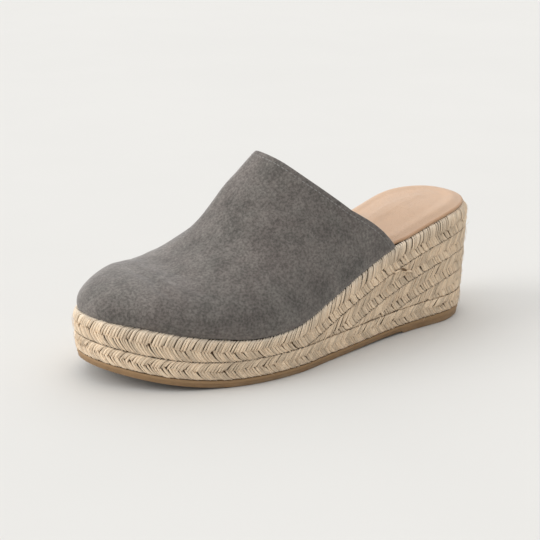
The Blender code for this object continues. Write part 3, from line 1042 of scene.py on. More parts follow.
def stitched(name, points, outs, values):
    """A row of stitches along points, sunk by the Sink value against the outward direction."""
    points = points - outs * values["Sink"]
    mesh = bpy.data.meshes.new(name + "_path")
    mesh.from_pydata([tuple(p) for p in points], [(i, i + 1) for i in range(len(points) - 1)], [])
    guide = linked(name + "_path", mesh)
    set_attribute(guide, "out", "FLOAT_VECTOR", outs)
    piece = linked(name, grown(guide, stitch_group(), values))
    return piece


# Sizes and colours that a user would change


class MuleBraidSizes(bpy.types.PropertyGroup):
    """Straws of the braid"""

    straw_pitch: bpy.props.FloatProperty(
        name="Straw pitch", description="From one straw to the next along a row",
        default=0.00160, unit="LENGTH")
    straw_width: bpy.props.FloatProperty(
        name="Straw width", description="Width of a flat straw", default=0.00150, unit="LENGTH")
    straw_thick: bpy.props.FloatProperty(
        name="Straw thickness", description="Thickness of a flat straw", default=0.00108, unit="LENGTH")
    slant: bpy.props.FloatProperty(
        name="Slant", description="How far a straw leans along the row", default=0.0046, unit="LENGTH")
    bow: bpy.props.FloatProperty(
        name="Bow", description="Curve of a straw in the plane of the row",
        default=0.0005, unit="LENGTH")
    dive: bpy.props.FloatProperty(
        name="Dive", description="How deep a straw's inner end goes in", default=0.00078, unit="LENGTH")
    edge_dive: bpy.props.FloatProperty(
        name="Edge dive", description="How deep they go in at the row's edge",
        default=0.00004, unit="LENGTH")
    looseness: bpy.props.FloatProperty(
        name="Looseness", description="How far straws lie out of place", default=0.00021, unit="LENGTH")
    pits: bpy.props.FloatProperty(
        name="Pits", description="Share of the straws that end short of the middle", default=0.13)
    top_wrap: bpy.props.FloatProperty(
        name="Top wrap", description="How far the top row's straws roll over its edge",
        default=0.0021, unit="LENGTH")
    fibres: bpy.props.IntProperty(
        name="Loose fibres", description="Loose fibres for each 100 mm of a row", default=55)
    seed: bpy.props.IntProperty(name="Seed", description="Seed of the straws' irregularity", default=7)
    straw_colour: bpy.props.FloatVectorProperty(
        name="Straw", description="Colour of the jute", subtype="COLOR", default=(0.87, 0.70, 0.515))
    # Painted shade down between the straws; the backing behind them takes this colour too
    gap_shade_colour: bpy.props.FloatVectorProperty(
        name="Gaps", description="Colour down between the straws",
        subtype="COLOR", default=(0.25, 0.155, 0.082))


class MuleUpperSizes(bpy.types.PropertyGroup):
    """Suede, lining, elastic and thread of the upper"""

    fold_in: bpy.props.FloatProperty(
        name="Turned edge", description="Suede turned in over the lining", default=0.0030, unit="LENGTH")
    stitch_in: bpy.props.FloatProperty(
        name="Stitch line", description="From the topline to its stitches",
        default=0.0021, unit="LENGTH")
    stitch_pitch: bpy.props.FloatProperty(
        name="Stitch pitch", description="From one stitch to the next", default=0.0026, unit="LENGTH")
    suede_colour: bpy.props.FloatVectorProperty(
        name="Suede", description="Colour of the suede", subtype="COLOR", default=(0.134, 0.125, 0.114))
    lining_colour: bpy.props.FloatVectorProperty(
        name="Lining", description="Colour of the lining leather",
        subtype="COLOR", default=(0.42, 0.215, 0.085))
    thread_colour: bpy.props.FloatVectorProperty(
        name="Thread", description="Colour of the upper's thread",
        subtype="COLOR", default=(0.27, 0.26, 0.25))
    elastic_colour: bpy.props.FloatVectorProperty(
        name="Elastic", description="Colour of the gusset",
        subtype="COLOR", default=(0.085, 0.082, 0.080))


class MuleSoleSizes(bpy.types.PropertyGroup):
    """Outsole and footbed"""

    tread_pitch: bpy.props.FloatProperty(
        name="Tread pitch", description="From one groove of the tread to the next",
        default=0.0060, unit="LENGTH")
    tread_depth: bpy.props.FloatProperty(
        name="Tread depth", description="Depth of the grooves", default=0.0007, unit="LENGTH")
    rubber_colour: bpy.props.FloatVectorProperty(
        name="Rubber", description="Colour of the outsole", subtype="COLOR", default=(0.33, 0.20, 0.098))
    # Painted highlight along the moulded line at the top of the outsole's side
    line_highlight_colour: bpy.props.FloatVectorProperty(
        name="Side line", description="Colour of the line along its top",
        subtype="COLOR", default=(0.37, 0.228, 0.112))
    footbed_colour: bpy.props.FloatVectorProperty(
        name="Footbed", description="Colour of the footbed",
        subtype="COLOR", default=(0.645, 0.438, 0.298))
    footbed_edge: bpy.props.FloatVectorProperty(
        name="Footbed edge", description="Colour of its rolled edge",
        subtype="COLOR", default=(0.57, 0.35, 0.21))


class MuleStageSizes(bpy.types.PropertyGroup):
    """Camera, floor and light"""

    azimuth: bpy.props.FloatProperty(
        name="Azimuth", description="Camera's turn round the shoe",
        default=math.radians(-35.482), subtype="ANGLE")
    elevation: bpy.props.FloatProperty(
        name="Elevation", description="Camera's height over the floor",
        default=math.radians(17.623), subtype="ANGLE")
    roll: bpy.props.FloatProperty(
        name="Roll", description="Camera's roll", default=math.radians(0.768), subtype="ANGLE")
    distance: bpy.props.FloatProperty(
        name="Distance", description="From the camera to its target", default=0.6929, unit="LENGTH")
    aim: bpy.props.FloatVectorProperty(
        name="Target", description="What the camera points at", subtype="TRANSLATION",
        default=(-0.00883, 0.00239, 0.03999))
    lens: bpy.props.FloatProperty(name="Lens", description="Focal length in millimetres", default=85.0)
    floor_colour: bpy.props.FloatVectorProperty(
        name="Floor", description="Colour of the floor", subtype="COLOR", default=(0.725, 0.72, 0.703))
    backdrop_colour: bpy.props.FloatVectorProperty(
        name="Backdrop", description="Tone behind the floor",
        subtype="COLOR", default=(0.836, 0.829, 0.797))
    light_turn: bpy.props.FloatProperty(
        name="Light turn", description="Turn of both lights round the shoe",
        default=math.radians(-32.4), subtype="ANGLE")
    air_light: bpy.props.FloatProperty(
        name="Air light", description="Strength of the light from all sides", default=0.79)
    key_light: bpy.props.FloatProperty(
        name="Key light", description="Strength of the light from the left", default=1.15)


def sizes(group):
    """The sizes that a user would change, by the name of their group."""
    return getattr(bpy.context.scene, group)


# Pieces


def top_round(t):
    """How far the upper edge of the top row rounds in at a station."""
    return HEEL_ROUND_IN + (TOE_ROUND_IN - HEEL_ROUND_IN) * ease(t / 0.5)


def toe_rim(t):
    """How much higher the top row's edge stands round the toe."""
    return TOE_RIM * ease((t - TOE_RIM_FROM) / TOE_RIM_FADE)


def row_foot(row, t):
    """Where a row begins. The inner rows keep their height as they sink behind the base row."""
    if row == 1:
        return sole_top(t) + GAP
    foot = row_top(row, t) - row_pitch(t)
    return np.maximum(base_top(t), foot) if row == ROWS else foot


def row_guide(row, end):
    """Open ribbon along a row's outer face, a little past its edges, and its length."""
    ts = cosine_stations(260, end)
    if end == 1.0:
        route = [(t, -1) for t in ts] + [(t, 1) for t in ts[-2::-1]]
    else:
        route = [(t, 1) for t in ts[::-1]] + [(t, -1) for t in ts[1:]]
    t = np.array([stop[0] for stop in route])
    side = np.array([stop[1] for stop in route])
    under = row_foot(row, t)
    height = row_top(row, t) - under
    shares = np.linspace(-RIBBON_REACH, 1 + RIBBON_REACH, 15)
    levels = []
    depths = []
    for share in shares:
        held = np.clip(share, 0, 1)
        past = abs(share - held) * height
        z = under + held * height + np.sign(share - held) * past * RIBBON_TURN
        hidden = np.clip(base_top(t) + HIDDEN_FROM - z, 0, None) * (row not in (1, ROWS))
        inset = BRAID_ROUND * (2 * held - 1) ** 2 + past + np.minimum(HIDDEN_SLOPE * hidden, HIDDEN_IN)
        if row == ROWS:
            z = z + toe_rim(t) * held
            inset = inset + top_round(t) * max(2 * held - 1, 0) ** 2.2
        y = centre(t) + side * half_width(t, inset) - MIDDLE
        levels.append(np.stack([along(t, z, inset), y, z], -1))
        depths.append(hidden)
    grid = np.stack(levels, 1)
    across = np.gradient(grid, axis=1)
    forward = np.gradient(grid, axis=0)
    if end == 1.0:
        forward[0] = forward[-1] = grid[1] - grid[-2]
    outs = unit(np.cross(across, forward))
    steps = np.linalg.norm(np.diff(grid[:, len(shares) // 2], axis=0), axis=1)
    length = steps.sum()
    u = np.concatenate([[0], np.cumsum(steps)]) / length
    v = (shares + RIBBON_REACH) / (1 + 2 * RIBBON_REACH)
    number = np.arange(len(u) * len(v)).reshape(len(u), len(v))
    quads = np.stack([number[:-1, :-1], number[1:, :-1], number[1:, 1:], number[:-1, 1:]], -1)
    guide = new_piece(f"row_{row}_guide", grid.reshape(-1, 3), quads.reshape(-1, 4)[:, ::-1], [])
    set_attribute(guide, "out", "FLOAT_VECTOR", outs.reshape(-1, 3))
    set_attribute(guide, "buried", "FLOAT", (np.stack(depths, 1) > BURIED).ravel())
    layer = guide.data.uv_layers.new(name="guide")
    uv = np.stack(np.broadcast_arrays(u[:, None], v[None, :]), -1).reshape(-1, 2)
    corner = np.empty(len(guide.data.loops), np.int32)
    guide.data.loops.foreach_get("vertex_index", corner)
    layer.data.foreach_set("uv", uv[corner].astype(np.float32).ravel())
    return guide, length


def row_backing(row, end, material):
    """Closed body behind a row's straws, in the dark colour of the painted gap shade."""
    ts = cosine_stations(90, end)
    under = row_foot(row, ts)
    if row > 1:
        under = np.maximum(base_top(ts), under)
    top = np.maximum(row_top(row, ts), under + GAP)
    levels = []
    for share in (0.0, 0.5, 1.0):
        inset = CORE_IN + BRAID_ROUND * (2 * share - 1) ** 2
        levels.append(Level(inset, under + share * (top - under)))
    if row == ROWS:
        inset = levels[-1].inset + top_round(ts)
        seat = top - EDGE_DROP
        rim = seat + toe_rim(ts)
        levels[-1:] = [Level(inset, rim), Level(inset + 0.0008, rim), Level(inset + 0.0010, seat)]
    points, faces, _ = ring_loft(ts, levels, blunt=end < 1)
    backing = new_piece(f"row_{row}_backing", points, faces, [material])
    face_outwards(backing)
    return mesh_of(backing)


def strand(name, path, outs, half_width, half_thick, material):
    """Closed strand with pointed ends along a path, flat against the surface."""
    along_path = unit(np.gradient(path, axis=0))
    across = unit(np.cross(outs, along_path))
    share = np.linspace(0, 1, len(path))
    girth = np.maximum(np.sin(np.pi * share) ** 0.5, 0.12)[:, None]
    section = np.radians(np.arange(0, 360, 45))
    rings = []
    for angle in section:
        aside = across * half_width * math.cos(angle) + outs * half_thick * math.sin(angle)
        rings.append(path + aside * girth)
    points = np.stack(rings, 1).reshape(-1, 3)
    sides = len(section)
    ends = [tuple(range(sides)), tuple(range(len(points) - sides, len(points)))]
    faces = ends + ring_faces(len(path), sides)
    piece = new_piece(name, points, faces, [material])
    face_outwards(piece)
    around = np.tile(np.cos(section) * 3, len(path))
    lay = np.stack([np.repeat(share, sides), around, np.full(len(points), 31.0)], -1)
    set_attribute(piece, "lay", "FLOAT_VECTOR", lay)
    set_attribute(piece, "tone", "FLOAT", np.full(len(points), 0.9))
    return mesh_of(piece)


# A strand of the tucked end: where it starts and ends along the shoe and above the row's line,
# half its width and thickness, and how far its middle stands proud
Strand = namedtuple("Strand", "name start end start_z end_z half_width half_thick proud")
STRANDS = (
    # The first strand is a dark lens in the gap shade's colour, a painted shadow of the opening where the
    # braid ends
    Strand("slit", 0.0004, -0.0050, 0.0002, -0.0022, 0.00070, 0.00060, 0.00060),
    Strand("lower_straw", -0.0012, -0.0098, -0.0016, -0.0034, 0.00050, 0.00055, 0.00035),
    Strand("upper_straw", 0.0062, 0.0008, -0.0011, -0.0006, 0.00050, 0.00045, 0.00035),
)


def tucked_end(straw, shade):
    """Where a length of braid ends: a dark lens on the line under the top row, a painted shadow of the
    opening there, and loose straws.
    """
    meshes = []
    share = np.linspace(0, 1, 12)
    for each in STRANDS:
        t = NOTCH_T + (each.start + (each.end - each.start) * share) / LENGTH
        z = row_top(ROWS - 1, NOTCH_T) + each.start_z + (each.end_z - each.start_z) * share
        path = side_point(t, z, 0.0, -1)
        forward = side_point(t - 0.004, z, 0.0, -1) - side_point(t + 0.004, z, 0.0, -1)
        outs = unit(np.cross(forward, np.array((0.0, 0.0, 1.0))))
        arch = each.proud * np.sin(np.pi * share) + each.half_thick * 0.2
        path = path + outs * arch[:, None]
        material = shade if each.name == "slit" else straw
        meshes.append(strand(each.name, path, outs, each.half_width, each.half_thick, material))
    return meshes


class MULE_OT_braid(bpy.types.Operator):
    """Braid the five rows of the wedge in jute"""

    bl_idname = "mule.braid"
    bl_label = "Braided wedge"

    def execute(self, context):
        braid = sizes("mule_braid")
        straw = straw_finish(tuple(braid.straw_colour), tuple(braid.gap_shade_colour))
        # The backing is coloured with the painted gap shade, dark where it shows between the straws
        backing = plain_finish(
            "jute_backing", tuple(braid.gap_shade_colour), roughness=0.95, patch=0.006, grain=0.0009,
            dark=0.6, light=1.3, height=0.0005, strength=0.8)
        for row in range(1, ROWS + 1):
            end = row_end(row, GUIDE_TIP)
            guide, length = row_guide(row, end)
            values = {
                "Straws": int(round(length / braid.straw_pitch)),
                "Row Length": length,
                "Row Height": ROW_HEIGHT if row > 1 else BASE_ROW,
                "Straw Width": braid.straw_width,
                "Straw Thickness": braid.straw_thick,
                "Slant": braid.slant,
                "Bow": braid.bow,
                "Dive": braid.dive,
                "Edge Dive": braid.edge_dive,
                "Top Wrap": braid.top_wrap if row == ROWS else 0.0,
                "Looseness": braid.looseness,
                "Pits": braid.pits,
                "Fibres": int(braid.fibres * length / FIBRES_OVER),
                "Seed": braid.seed + row,
                "Straw Material": straw,
            }
            straws = grown(guide, braid_group(), values)
            core = row_backing(row, min(end, row_end(row, ROW_TIP)), backing)
            ends = tucked_end(straw, backing) if row == ROWS else []
            piece = joined(f"braid_row_{row}", [straws, core, *ends])
            place(piece, f"jute_row_{row}")
        return {"FINISHED"}


class MULE_OT_outsole(bpy.types.Operator):
    """Mould the rubber outsole with its side line and tread"""

    bl_idname = "mule.outsole"
    bl_label = "Outsole"

    def execute(self, context):
        sole = sizes("mule_sole")
        breast = HEEL_BREAST / LENGTH
        kept = [breast, breast + BREAST_SLOPE / LENGTH, TREAD_BACK / LENGTH]
        grooves = np.concatenate([
            np.arange(0.010, HEEL_BREAST - 0.004, sole.tread_pitch),
            np.arange(TREAD_BACK + 0.006, LENGTH - 0.014, sole.tread_pitch),
        ])
        flat = GROOVE_FLOOR * sole.tread_pitch
        slope = GROOVE_MOUTH * sole.tread_pitch
        for off in (-slope, -flat, flat, slope):
            kept.extend((grooves + off) / LENGTH)
        ts = np.unique(np.concatenate([cosine_stations(150), kept]))
        from_groove = np.abs(ts[:, None] * LENGTH - grooves[None, :]).min(1)
        cut = sole.tread_depth * np.clip((slope - from_groove) / (slope - flat), 0, 1)
        under = sole_under(ts)
        top = sole_top(ts)
        levels = [Level(ROW_ROUND / 2 + inset, under + share * (top - under)) for share, inset in SOLE_SIDE]
        levels[0] = Level(levels[0].inset, under + cut)
        points, faces, ring_of_point = ring_loft(ts, levels)
        rubber = rubber_finish(tuple(sole.rubber_colour), tuple(sole.line_highlight_colour))
        piece = new_piece("rubber_outsole", points, faces, [rubber])
        face_outwards(piece)
        piece.data.set_sharp_from_angle(angle=math.radians(50))
        share_of_ring = np.array([share for share, _ in SOLE_SIDE])
        set_attribute(piece, "side", "FLOAT", share_of_ring[ring_of_point])
        place(piece, "outsole")
        return {"FINISHED"}


class MULE_OT_footbed(bpy.types.Operator):
    """Make the padded footbed with its moulded ridge and rolled edge"""

    bl_idname = "mule.footbed"
    bl_label = "Footbed"

    def execute(self, context):
        sole = sizes("mule_sole")
        corner = OUTER_CORNER / LENGTH
        ts = cosine_stations(170)
        inside = FEATHER_MARGIN + WALL + 2 * GAP
        narrow = ease((ts - corner) * LENGTH / SHOULDER + 1)
        edge = ROW_ROUND + HEEL_MARGIN + (inside - ROW_ROUND - HEEL_MARGIN) * narrow + toe_ledge(ts)
        seat = braid_top(ts) + GAP
        levels = []
        rims = []
        half = EDGE_THICK / 2
        for angle in np.radians(np.linspace(-90, 90, 9)):
            levels.append(Level(edge + half * (1 - math.cos(angle)), seat + half * (1 + math.sin(angle))))
            rims.append(1.0)
        crest = PAD_CREST + 0.0001
        for inset in np.arange(0.0012, 0.0260, 0.0006):
            rise = ease((inset - CREST_FROM) / (CREST_IN - CREST_FROM))
            fall = ease((inset - CREST_IN) / (DISH_IN - 0.0010 - CREST_IN))
            dip = FOOT_DIP * ease((inset - DISH_IN) / FOOT_DIP_REACH)
            height = EDGE_THICK + crest * rise - (crest - PAD_DISH) * fall - dip
            levels.append(Level(edge + inset, seat + height))
            rims.append(float(np.clip(1 - inset / ROLLED_EDGE, 0, 1)))
        points, faces, ring_of_point = ring_loft(ts, levels)
        leather = footbed_finish(tuple(sole.footbed_colour), tuple(sole.footbed_edge))
        piece = new_piece("padded_footbed", points, faces, [leather])
        face_outwards(piece)
        set_attribute(piece, "rim", "FLOAT", np.array(rims)[ring_of_point])
        place(piece, "insole")
        return {"FINISHED"}


def crease_lift(u, over):
    """How far the listed folds push the suede out or in."""
    lift = np.zeros_like(over)
    for fold in CREASES:
        off = (over - fold.over) / fold.reach
        line = fold.u + fold.slant * (over - fold.over) + 0.012 * np.sin(9 * off)
        lift += fold.depth * np.exp(-(((u - line) / fold.width) ** 2) - off**2)
    return lift


def hand_lift(points):
    """Slight unevenness of a hand-lasted upper."""
    x, y, z = points[..., 0], points[..., 1], points[..., 2]
    wave = np.sin(95 * x + 60 * y + 1.0) * np.sin(80 * z - 55 * y + 0.4)
    return HAND_WAVE * wave + HAND_RIPPLE * np.sin(190 * x - 120 * z + 2.2) * np.sin(170 * y + 0.9)


def suede_point(u, over):
    """A point of the dressed upper's outer face and the outward normal there."""
    base = upper_point(u, over)
    normal = upper_normal(u, over)
    bow = COLLAR_BOW * np.sin(np.pi * np.clip(over / BOW_OVER, 0, 1) ** 0.85)
    bow = bow * ease((u - BOW_FROM) / (1 - BOW_FROM))
    forward = unit(upper_point(np.minimum(u + 0.01, 1), over) - upper_point(np.minimum(u, 0.99), over))
    base = base + forward * bow[..., None]
    high = (base[..., 2] - PLATFORM - TOE_SPRING) / FULL_HEIGHT
    toe = TOE_FULLNESS * ease((FULL_UNTIL - u) / FULL_FADE) * np.sin(np.pi * np.clip(high, 0, 1) ** 0.6)
    base = base + unit(normal * (1, 1, 0)) * toe[..., None]
    fade = np.clip(np.minimum(over, 1 - over) / 0.04, 0, 1) * np.clip(u / 0.1, 0, 1)
    lift = (crease_lift(u, over) + hand_lift(base)) * fade
    instep = 1 - ease((np.abs(over - 0.5) - INSTEP_HALF) / INSTEP_FADE)
    lift += THROAT_LIFT * ease((u - THROAT_FROM) / THROAT_FADE) * instep
    span = np.pi * THROAT * 0.7
    foot = np.clip(1 - np.minimum(over, 1 - over) * span / TUCK_HEIGHT, 0, 1)
    return base + normal * (lift - TUCK * foot**2)[..., None], normal


def skin_faces(index, joined_column=None):
    """Quads of a grid of point numbers, leaving out the column between the two grids."""
    faces = []
    rows, columns = index.shape
    for j in range(columns - 1):
        if j == joined_column:
            continue
        for i in range(rows - 1):
            faces.append((index[i, j], index[i, j + 1], index[i + 1, j + 1], index[i + 1, j]))
    return faces


def shell_grid():
    """Outer and inner points of the upper: rows from the toe up, with a gap at the notch."""
    rim_in = WALL / 2 / TOE_TO_COLLAR
    lower = np.linspace(0, GUSSET_FOOT, TOE_ROWS + 1)[1:]
    above = np.linspace(GUSSET_FOOT, 1 - rim_in, NOTCH_ROWS + 1)[1:]
    us = np.concatenate([lower, above])
    front, back = gusset_edges(us)
    to_notch = front[:, None] * np.linspace(0, 1, SHELL_COLUMNS + 1)
    from_notch = back[:, None] + (1 - back[:, None]) * np.linspace(0, 1, CORNER_COLUMNS + 1)
    over = np.clip(np.concatenate([to_notch, from_notch], 1), 0, 1)
    face, normals = suede_point(np.broadcast_to(us[:, None], over.shape), over)
    for j in (0, -1):
        normals[:, j] = unit(normals[:, j] * (1, 1, 0))
    return face, face - WALL * normals


def shell_numbers(rows, columns):
    """Numbers of the outer and inner points; the two grids share a column below the notch."""
    index = np.empty((2, rows, columns), int)
    count = 2
    for layer, i, j in np.ndindex(index.shape):
        if j == SHELL_COLUMNS + 1 and i < TOE_ROWS:
            index[layer, i, j] = index[layer, i, j - 1]
            continue
        index[layer, i, j] = count
        count += 1
    return index


def toe_fan(tip, line):
    """Triangles from the point at the toe to the first row of points."""
    return [(tip, a, b) for a, b in zip(line, line[1:]) if a != b]


def strip(line, following):
    """Quads between two lines of point numbers."""
    steps = range(len(line) - 1)
    return [(line[k], following[k], following[k + 1], line[k + 1]) for k in steps]


def half_round(a, b, points, direction):
    """Adds the points of the half round between two edge points, and gives their numbers."""
    middle = (points[a] + points[b]) / 2
    arm = (points[a] - points[b]) / 2
    reach = np.linalg.norm(arm)
    numbers = [a]
    for angle in np.radians((36, 72, 108, 144)):
        numbers.append(len(points))
        points.append(middle + arm * math.cos(angle) + direction * reach * math.sin(angle))
    return numbers + [b]


def topline_faces(face, index, points):
    """Rounds the topline and the notch off. Adds the points and gives the faces."""
    foot = TOE_ROWS - 1
    left = SHELL_COLUMNS
    right = SHELL_COLUMNS + 1
    runs = (
        (index[:, -1, :right], face[-1, :right] - face[-2, :right]),
        (index[:, -1, right:], face[-1, right:] - face[-2, right:]),
        (index[:, foot:, left], face[foot:, left] - face[foot:, left - 1]),
        (index[:, foot:, right], face[foot:, right] - face[foot:, right + 1]),
    )
    directions = {}
    for run, outwards in runs:
        for a, b, outward in zip(run[0], run[1], unit(outwards)):
            directions[(a, b)] = directions.get((a, b), 0) + outward
    directions[tuple(index[:, foot, left])] = unit(face[foot + 1, left] - face[foot, left])
    rounds = {}
    faces = []
    for run, _ in runs:
        for a, b in zip(*run):
            if (a, b) not in rounds:
                rounds[(a, b)] = half_round(a, b, points, unit(directions[(a, b)]))
        lines = [rounds[(a, b)] for a, b in zip(*run)]
        for line, following in zip(lines, lines[1:]):
            faces.extend(strip(line, following))
    for j in (0, -1):
        faces.append(tuple(rounds[tuple(index[:, -1, j])]))
    return faces


class MULE_OT_upper(bpy.types.Operator):
    """Make the suede upper with its lining, turned edge and soft creases"""

    bl_idname = "mule.upper"
    bl_label = "Upper"

    def execute(self, context):
        upper = sizes("mule_upper")
        face, skin = shell_grid()
        index = shell_numbers(*face.shape[:2])
        points = [None] * (index.max() + 1)
        for layer, source in enumerate((face, skin)):
            for i, j in np.ndindex(source.shape[:2]):
                points[index[layer, i, j]] = source[i, j]
        toe = upper_point(np.array([0.0]), np.array([0.0]))[0]
        points[0] = toe
        points[1] = toe + np.array((WALL, 0, 0))
        from_collar = np.linalg.norm(face[-1, INSTEP_COLUMN] - face[:, INSTEP_COLUMN], axis=-1)
        turned = int(np.argmax(from_collar < upper.fold_in))
        outside, inside = index
        suede_faces = toe_fan(0, outside[0]) + skin_faces(outside, SHELL_COLUMNS)
        lining_faces = toe_fan(1, inside[0]) + skin_faces(inside[:turned + 1], SHELL_COLUMNS)
        suede_faces += skin_faces(inside[turned:], SHELL_COLUMNS)
        for j in (0, -1):
            suede_faces += strip((0, *outside[:, j]), (1, *inside[:, j]))
        suede_faces += topline_faces(face, index, points)
        suede = suede_finish(tuple(upper.suede_colour))
        lining = plain_finish(
            "lining_leather", tuple(upper.lining_colour), roughness=0.62, patch=0.016, grain=0.0006,
            dark=0.86, light=1.12, height=0.00012, strength=0.6, shine=0.35)
        piece = new_piece("suede_upper", points, suede_faces + lining_faces, [suede, lining])
        kinds = np.repeat(np.array((0, 1), np.int32), (len(suede_faces), len(lining_faces)))
        piece.data.polygons.foreach_set("material_index", kinds)
        face_outwards(piece)
        place(piece, "upper")
        return {"FINISHED"}


class MULE_OT_gusset(bpy.types.Operator):
    """Fit the ribbed elastic gusset in the notch at the inner side"""

    bl_idname = "mule.gusset"
    bl_label = "Elastic gusset"

    def execute(self, context):
        upper = sizes("mule_upper")
        us = np.linspace(GUSSET_FOOT + ELASTIC_FROM, ELASTIC_TO, 40)
        front, back = gusset_edges(us)
        share = np.linspace(0, 1, 57)
        margin = 0.08
        over = front[:, None] + (back - front)[:, None] * (margin / 2 + (1 - margin) * share)
        u_grid = np.broadcast_to(us[:, None], over.shape)
        normals = upper_normal(u_grid, over)
        swell = ELASTIC_SWELL * np.cos(2 * np.pi * ELASTIC_RIBS * share)
        face = upper_point(u_grid, over) + normals * (swell - ELASTIC_SINK)[None, :, None]
        skin = upper_point(u_grid, over) - normals * (ELASTIC_SINK + ELASTIC_THICK)
        index = np.arange(2 * over.size).reshape(2, *over.shape)
        faces = skin_faces(index[0]) + skin_faces(index[1])
        for outer, inner in (index[:, 0], index[:, -1], index[:, :, 0], index[:, :, -1]):
            faces.extend(strip(outer, inner))
        points = np.concatenate([face.reshape(-1, 3), skin.reshape(-1, 3)])
        elastic = elastic_finish(tuple(upper.elastic_colour))
        piece = new_piece("elastic_gusset", points, faces, [elastic])
        face_outwards(piece)
        picks = np.broadcast_to((us[:, None] - us[0]) * GUSSET_WAY / ELASTIC_PICK, over.shape)
        cords = np.broadcast_to(share[None, :] * ELASTIC_RIBS * 2, over.shape)
        weave = np.stack([picks, cords, np.zeros_like(over)], -1).reshape(-1, 3)
        set_attribute(piece, "weave", "FLOAT_VECTOR", np.concatenate([weave, weave]))
        place(piece, "elastic_gore")
        return {"FINISHED"}


class MULE_OT_stitches(bpy.types.Operator):
    """Stitch the topline and the gusset's seam"""

    bl_idname = "mule.stitches"
    bl_label = "Stitches"

    def execute(self, context):
        upper = sizes("mule_upper")
        thread = plain_finish(
            "grey_thread", tuple(upper.thread_colour), roughness=0.8, patch=0.0022, grain=0.0003,
            dark=0.75, light=1.2, height=0.0001, strength=0.6)
        values = {
            "Pitch": upper.stitch_pitch,
            "Stitch Length": upper.stitch_pitch * STITCH_SHARE,
            "Thread": THREAD,
            "Sink": THREAD_SINK,
            "Seed": STITCH_SEED,
            "Thread Material": thread,
        }
        collar_u = 1 - upper.stitch_in / TOE_TO_COLLAR
        front, back = gusset_edges(np.array([collar_u]))
        paths = {
            "topline_stitches": (np.full(160, collar_u), np.linspace(SEAM, front[0] - SEAM, 160)),
            "corner_stitches": (np.full(20, collar_u), np.linspace(back[0] + CORNER_SEAM, 0.99, 20)),
        }
        seam_u = np.linspace(GUSSET_FOOT, collar_u, 40)
        seam_front, seam_back = gusset_edges(seam_u)
        paths["gusset_front_stitches"] = (seam_u, seam_front - SEAM)
        paths["gusset_back_stitches"] = (seam_u, seam_back + BACK_SEAM)
        for name, (us, over) in paths.items():
            points, outs = suede_point(us, over)
            place(stitched(name, points, outs, values))
        return {"FINISHED"}


# Stage


def soft_sun(name, towards, spread, strength, colour):
    """Light from one side, as wide as a big softbox: towards is where it comes from."""
    data = bpy.data.lights.new(name, "SUN")
    data.angle = math.radians(spread)
    data.energy = strength
    data.color = colour
    lamp = linked(name, data)
    lamp.location = towards
    lamp.rotation_euler = towards.to_track_quat("Z", "Y").to_euler()


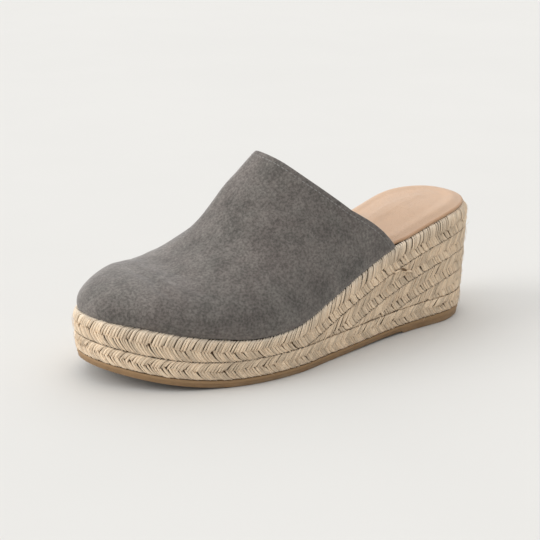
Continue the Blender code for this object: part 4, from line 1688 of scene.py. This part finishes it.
class MULE_OT_stage(bpy.types.Operator):
    """Set the pale studio, its soft light and the camera"""

    bl_idname = "mule.stage"
    bl_label = "Stage"

    def execute(self, context):
        stage = sizes("mule_stage")
        scene = context.scene
        scene.view_settings.view_transform = "Standard"
        paper = plain_finish(
            "studio_floor", tuple(stage.floor_colour), roughness=0.8, patch=0.6, grain=0.004,
            dark=0.99, light=1.01, height=0.0001, strength=0.1, shine=0.2)
        corners = [(-FLOOR, -FLOOR, 0), (FLOOR, -FLOOR, 0), (FLOOR, FLOOR, 0), (-FLOOR, FLOOR, 0)]
        floor = new_piece("studio_floor", corners, [(0, 1, 2, 3)], [paper])
        back = Vector((-math.sin(stage.light_turn), math.cos(stage.light_turn), 0))
        right = Vector((math.cos(stage.light_turn), math.sin(stage.light_turn), 0))
        self.add_air(scene, stage, back * 0.45 - right * 0.28 + Vector((0, 0, 0.80)))
        key = Vector((0, 0, 0.54)) - right - back * 0.17
        soft_sun("key_light", key, 34, stage.key_light, (1.0, 0.985, 0.965))
        self.add_camera(scene, stage)
        return {"FINISHED"}

    def add_air(self, scene, stage, brightest):
        """Soft light from all sides, most from one; the camera sees the floor's own tone in it."""
        world = bpy.data.worlds.new("studio_air")
        world.use_nodes = True
        tree = Tree(world.node_tree)
        light = world.node_tree.nodes["Background"]
        light.inputs["Color"].default_value = (1.0, 0.995, 0.985, 1)
        towards = tree.outs("ShaderNodeTexCoord")["Generated"]
        facing = tree.vmath("DOT_PRODUCT", towards, brightest)
        strength = tree.mapped(facing, -0.5, 1.0, 0.30, 1.62)
        tree.feed(light.inputs["Strength"], strength * stage.air_light)
        seen = tree.out("ShaderNodeBackground", {"Color": rgb(stage.backdrop_colour), "Strength": 1.0})
        straight = tree.outs("ShaderNodeLightPath")["Is Camera Ray"]
        both = tree.out("ShaderNodeMixShader", {0: straight, 1: Wire(tree, light.outputs[0]), 2: seen})
        tree.feed(world.node_tree.nodes["World Output"].inputs["Surface"], both)
        scene.world = world

    def add_camera(self, scene, stage):
        """The camera on its place round the target, level but for a slight roll."""
        data = bpy.data.cameras.new("photo_camera")
        data.lens = stage.lens
        data.sensor_width = 36
        data.clip_start = 0.01
        data.clip_end = 50
        camera = linked("photo_camera", data)
        a, e, r = stage.azimuth, stage.elevation, stage.roll
        away = Vector((math.sin(a) * math.cos(e), -math.cos(a) * math.cos(e), math.sin(e)))
        right = Vector((math.cos(a), math.sin(a), 0))
        up = away.cross(right)
        across = right * math.cos(r) + up * math.sin(r)
        upward = up * math.cos(r) - right * math.sin(r)
        turn = Matrix((across, upward, away)).transposed().to_4x4()
        camera.matrix_world = Matrix.Translation(Vector(stage.aim) + away * stage.distance) @ turn
        scene.camera = camera


class MULE_PT_panel(bpy.types.Panel):
    """Lists the pieces of the mule and their sizes"""

    bl_idname = "MULE_PT_panel"
    bl_label = "Wedge mule"
    bl_space_type = "VIEW_3D"
    bl_region_type = "UI"
    bl_category = "Mule"

    def draw(self, context):
        layout = self.layout
        for operator in OPERATORS:
            layout.operator(operator.bl_idname)
        for title, group in (
            ("Braid", "mule_braid"), ("Upper", "mule_upper"), ("Sole", "mule_sole"), ("Stage", "mule_stage"),
        ):
            box = layout.box()
            box.label(text=title)
            for name in sizes(group).bl_rna.properties.keys():
                if name not in ("rna_type", "name"):
                    box.prop(sizes(group), name)


GROUPS = {
    "mule_braid": MuleBraidSizes,
    "mule_upper": MuleUpperSizes,
    "mule_sole": MuleSoleSizes,
    "mule_stage": MuleStageSizes,
}
OPERATORS = (
    MULE_OT_stage,
    MULE_OT_outsole,
    MULE_OT_braid,
    MULE_OT_footbed,
    MULE_OT_upper,
    MULE_OT_gusset,
    MULE_OT_stitches,
)


def register():
    for name, group in GROUPS.items():
        bpy.utils.register_class(group)
        setattr(bpy.types.Scene, name, bpy.props.PointerProperty(type=group))
    for operator in OPERATORS:
        bpy.utils.register_class(operator)
    bpy.utils.register_class(MULE_PT_panel)


def unregister():
    bpy.utils.unregister_class(MULE_PT_panel)
    for operator in reversed(OPERATORS):
        bpy.utils.unregister_class(operator)
    for name, group in GROUPS.items():
        delattr(bpy.types.Scene, name)
        bpy.utils.unregister_class(group)


def main():
    register()
    bpy.ops.mule.stage()
    bpy.ops.mule.outsole()
    bpy.ops.mule.braid()
    bpy.ops.mule.footbed()
    bpy.ops.mule.upper()
    bpy.ops.mule.gusset()
    bpy.ops.mule.stitches()


if __name__ == "__main__":
    main()
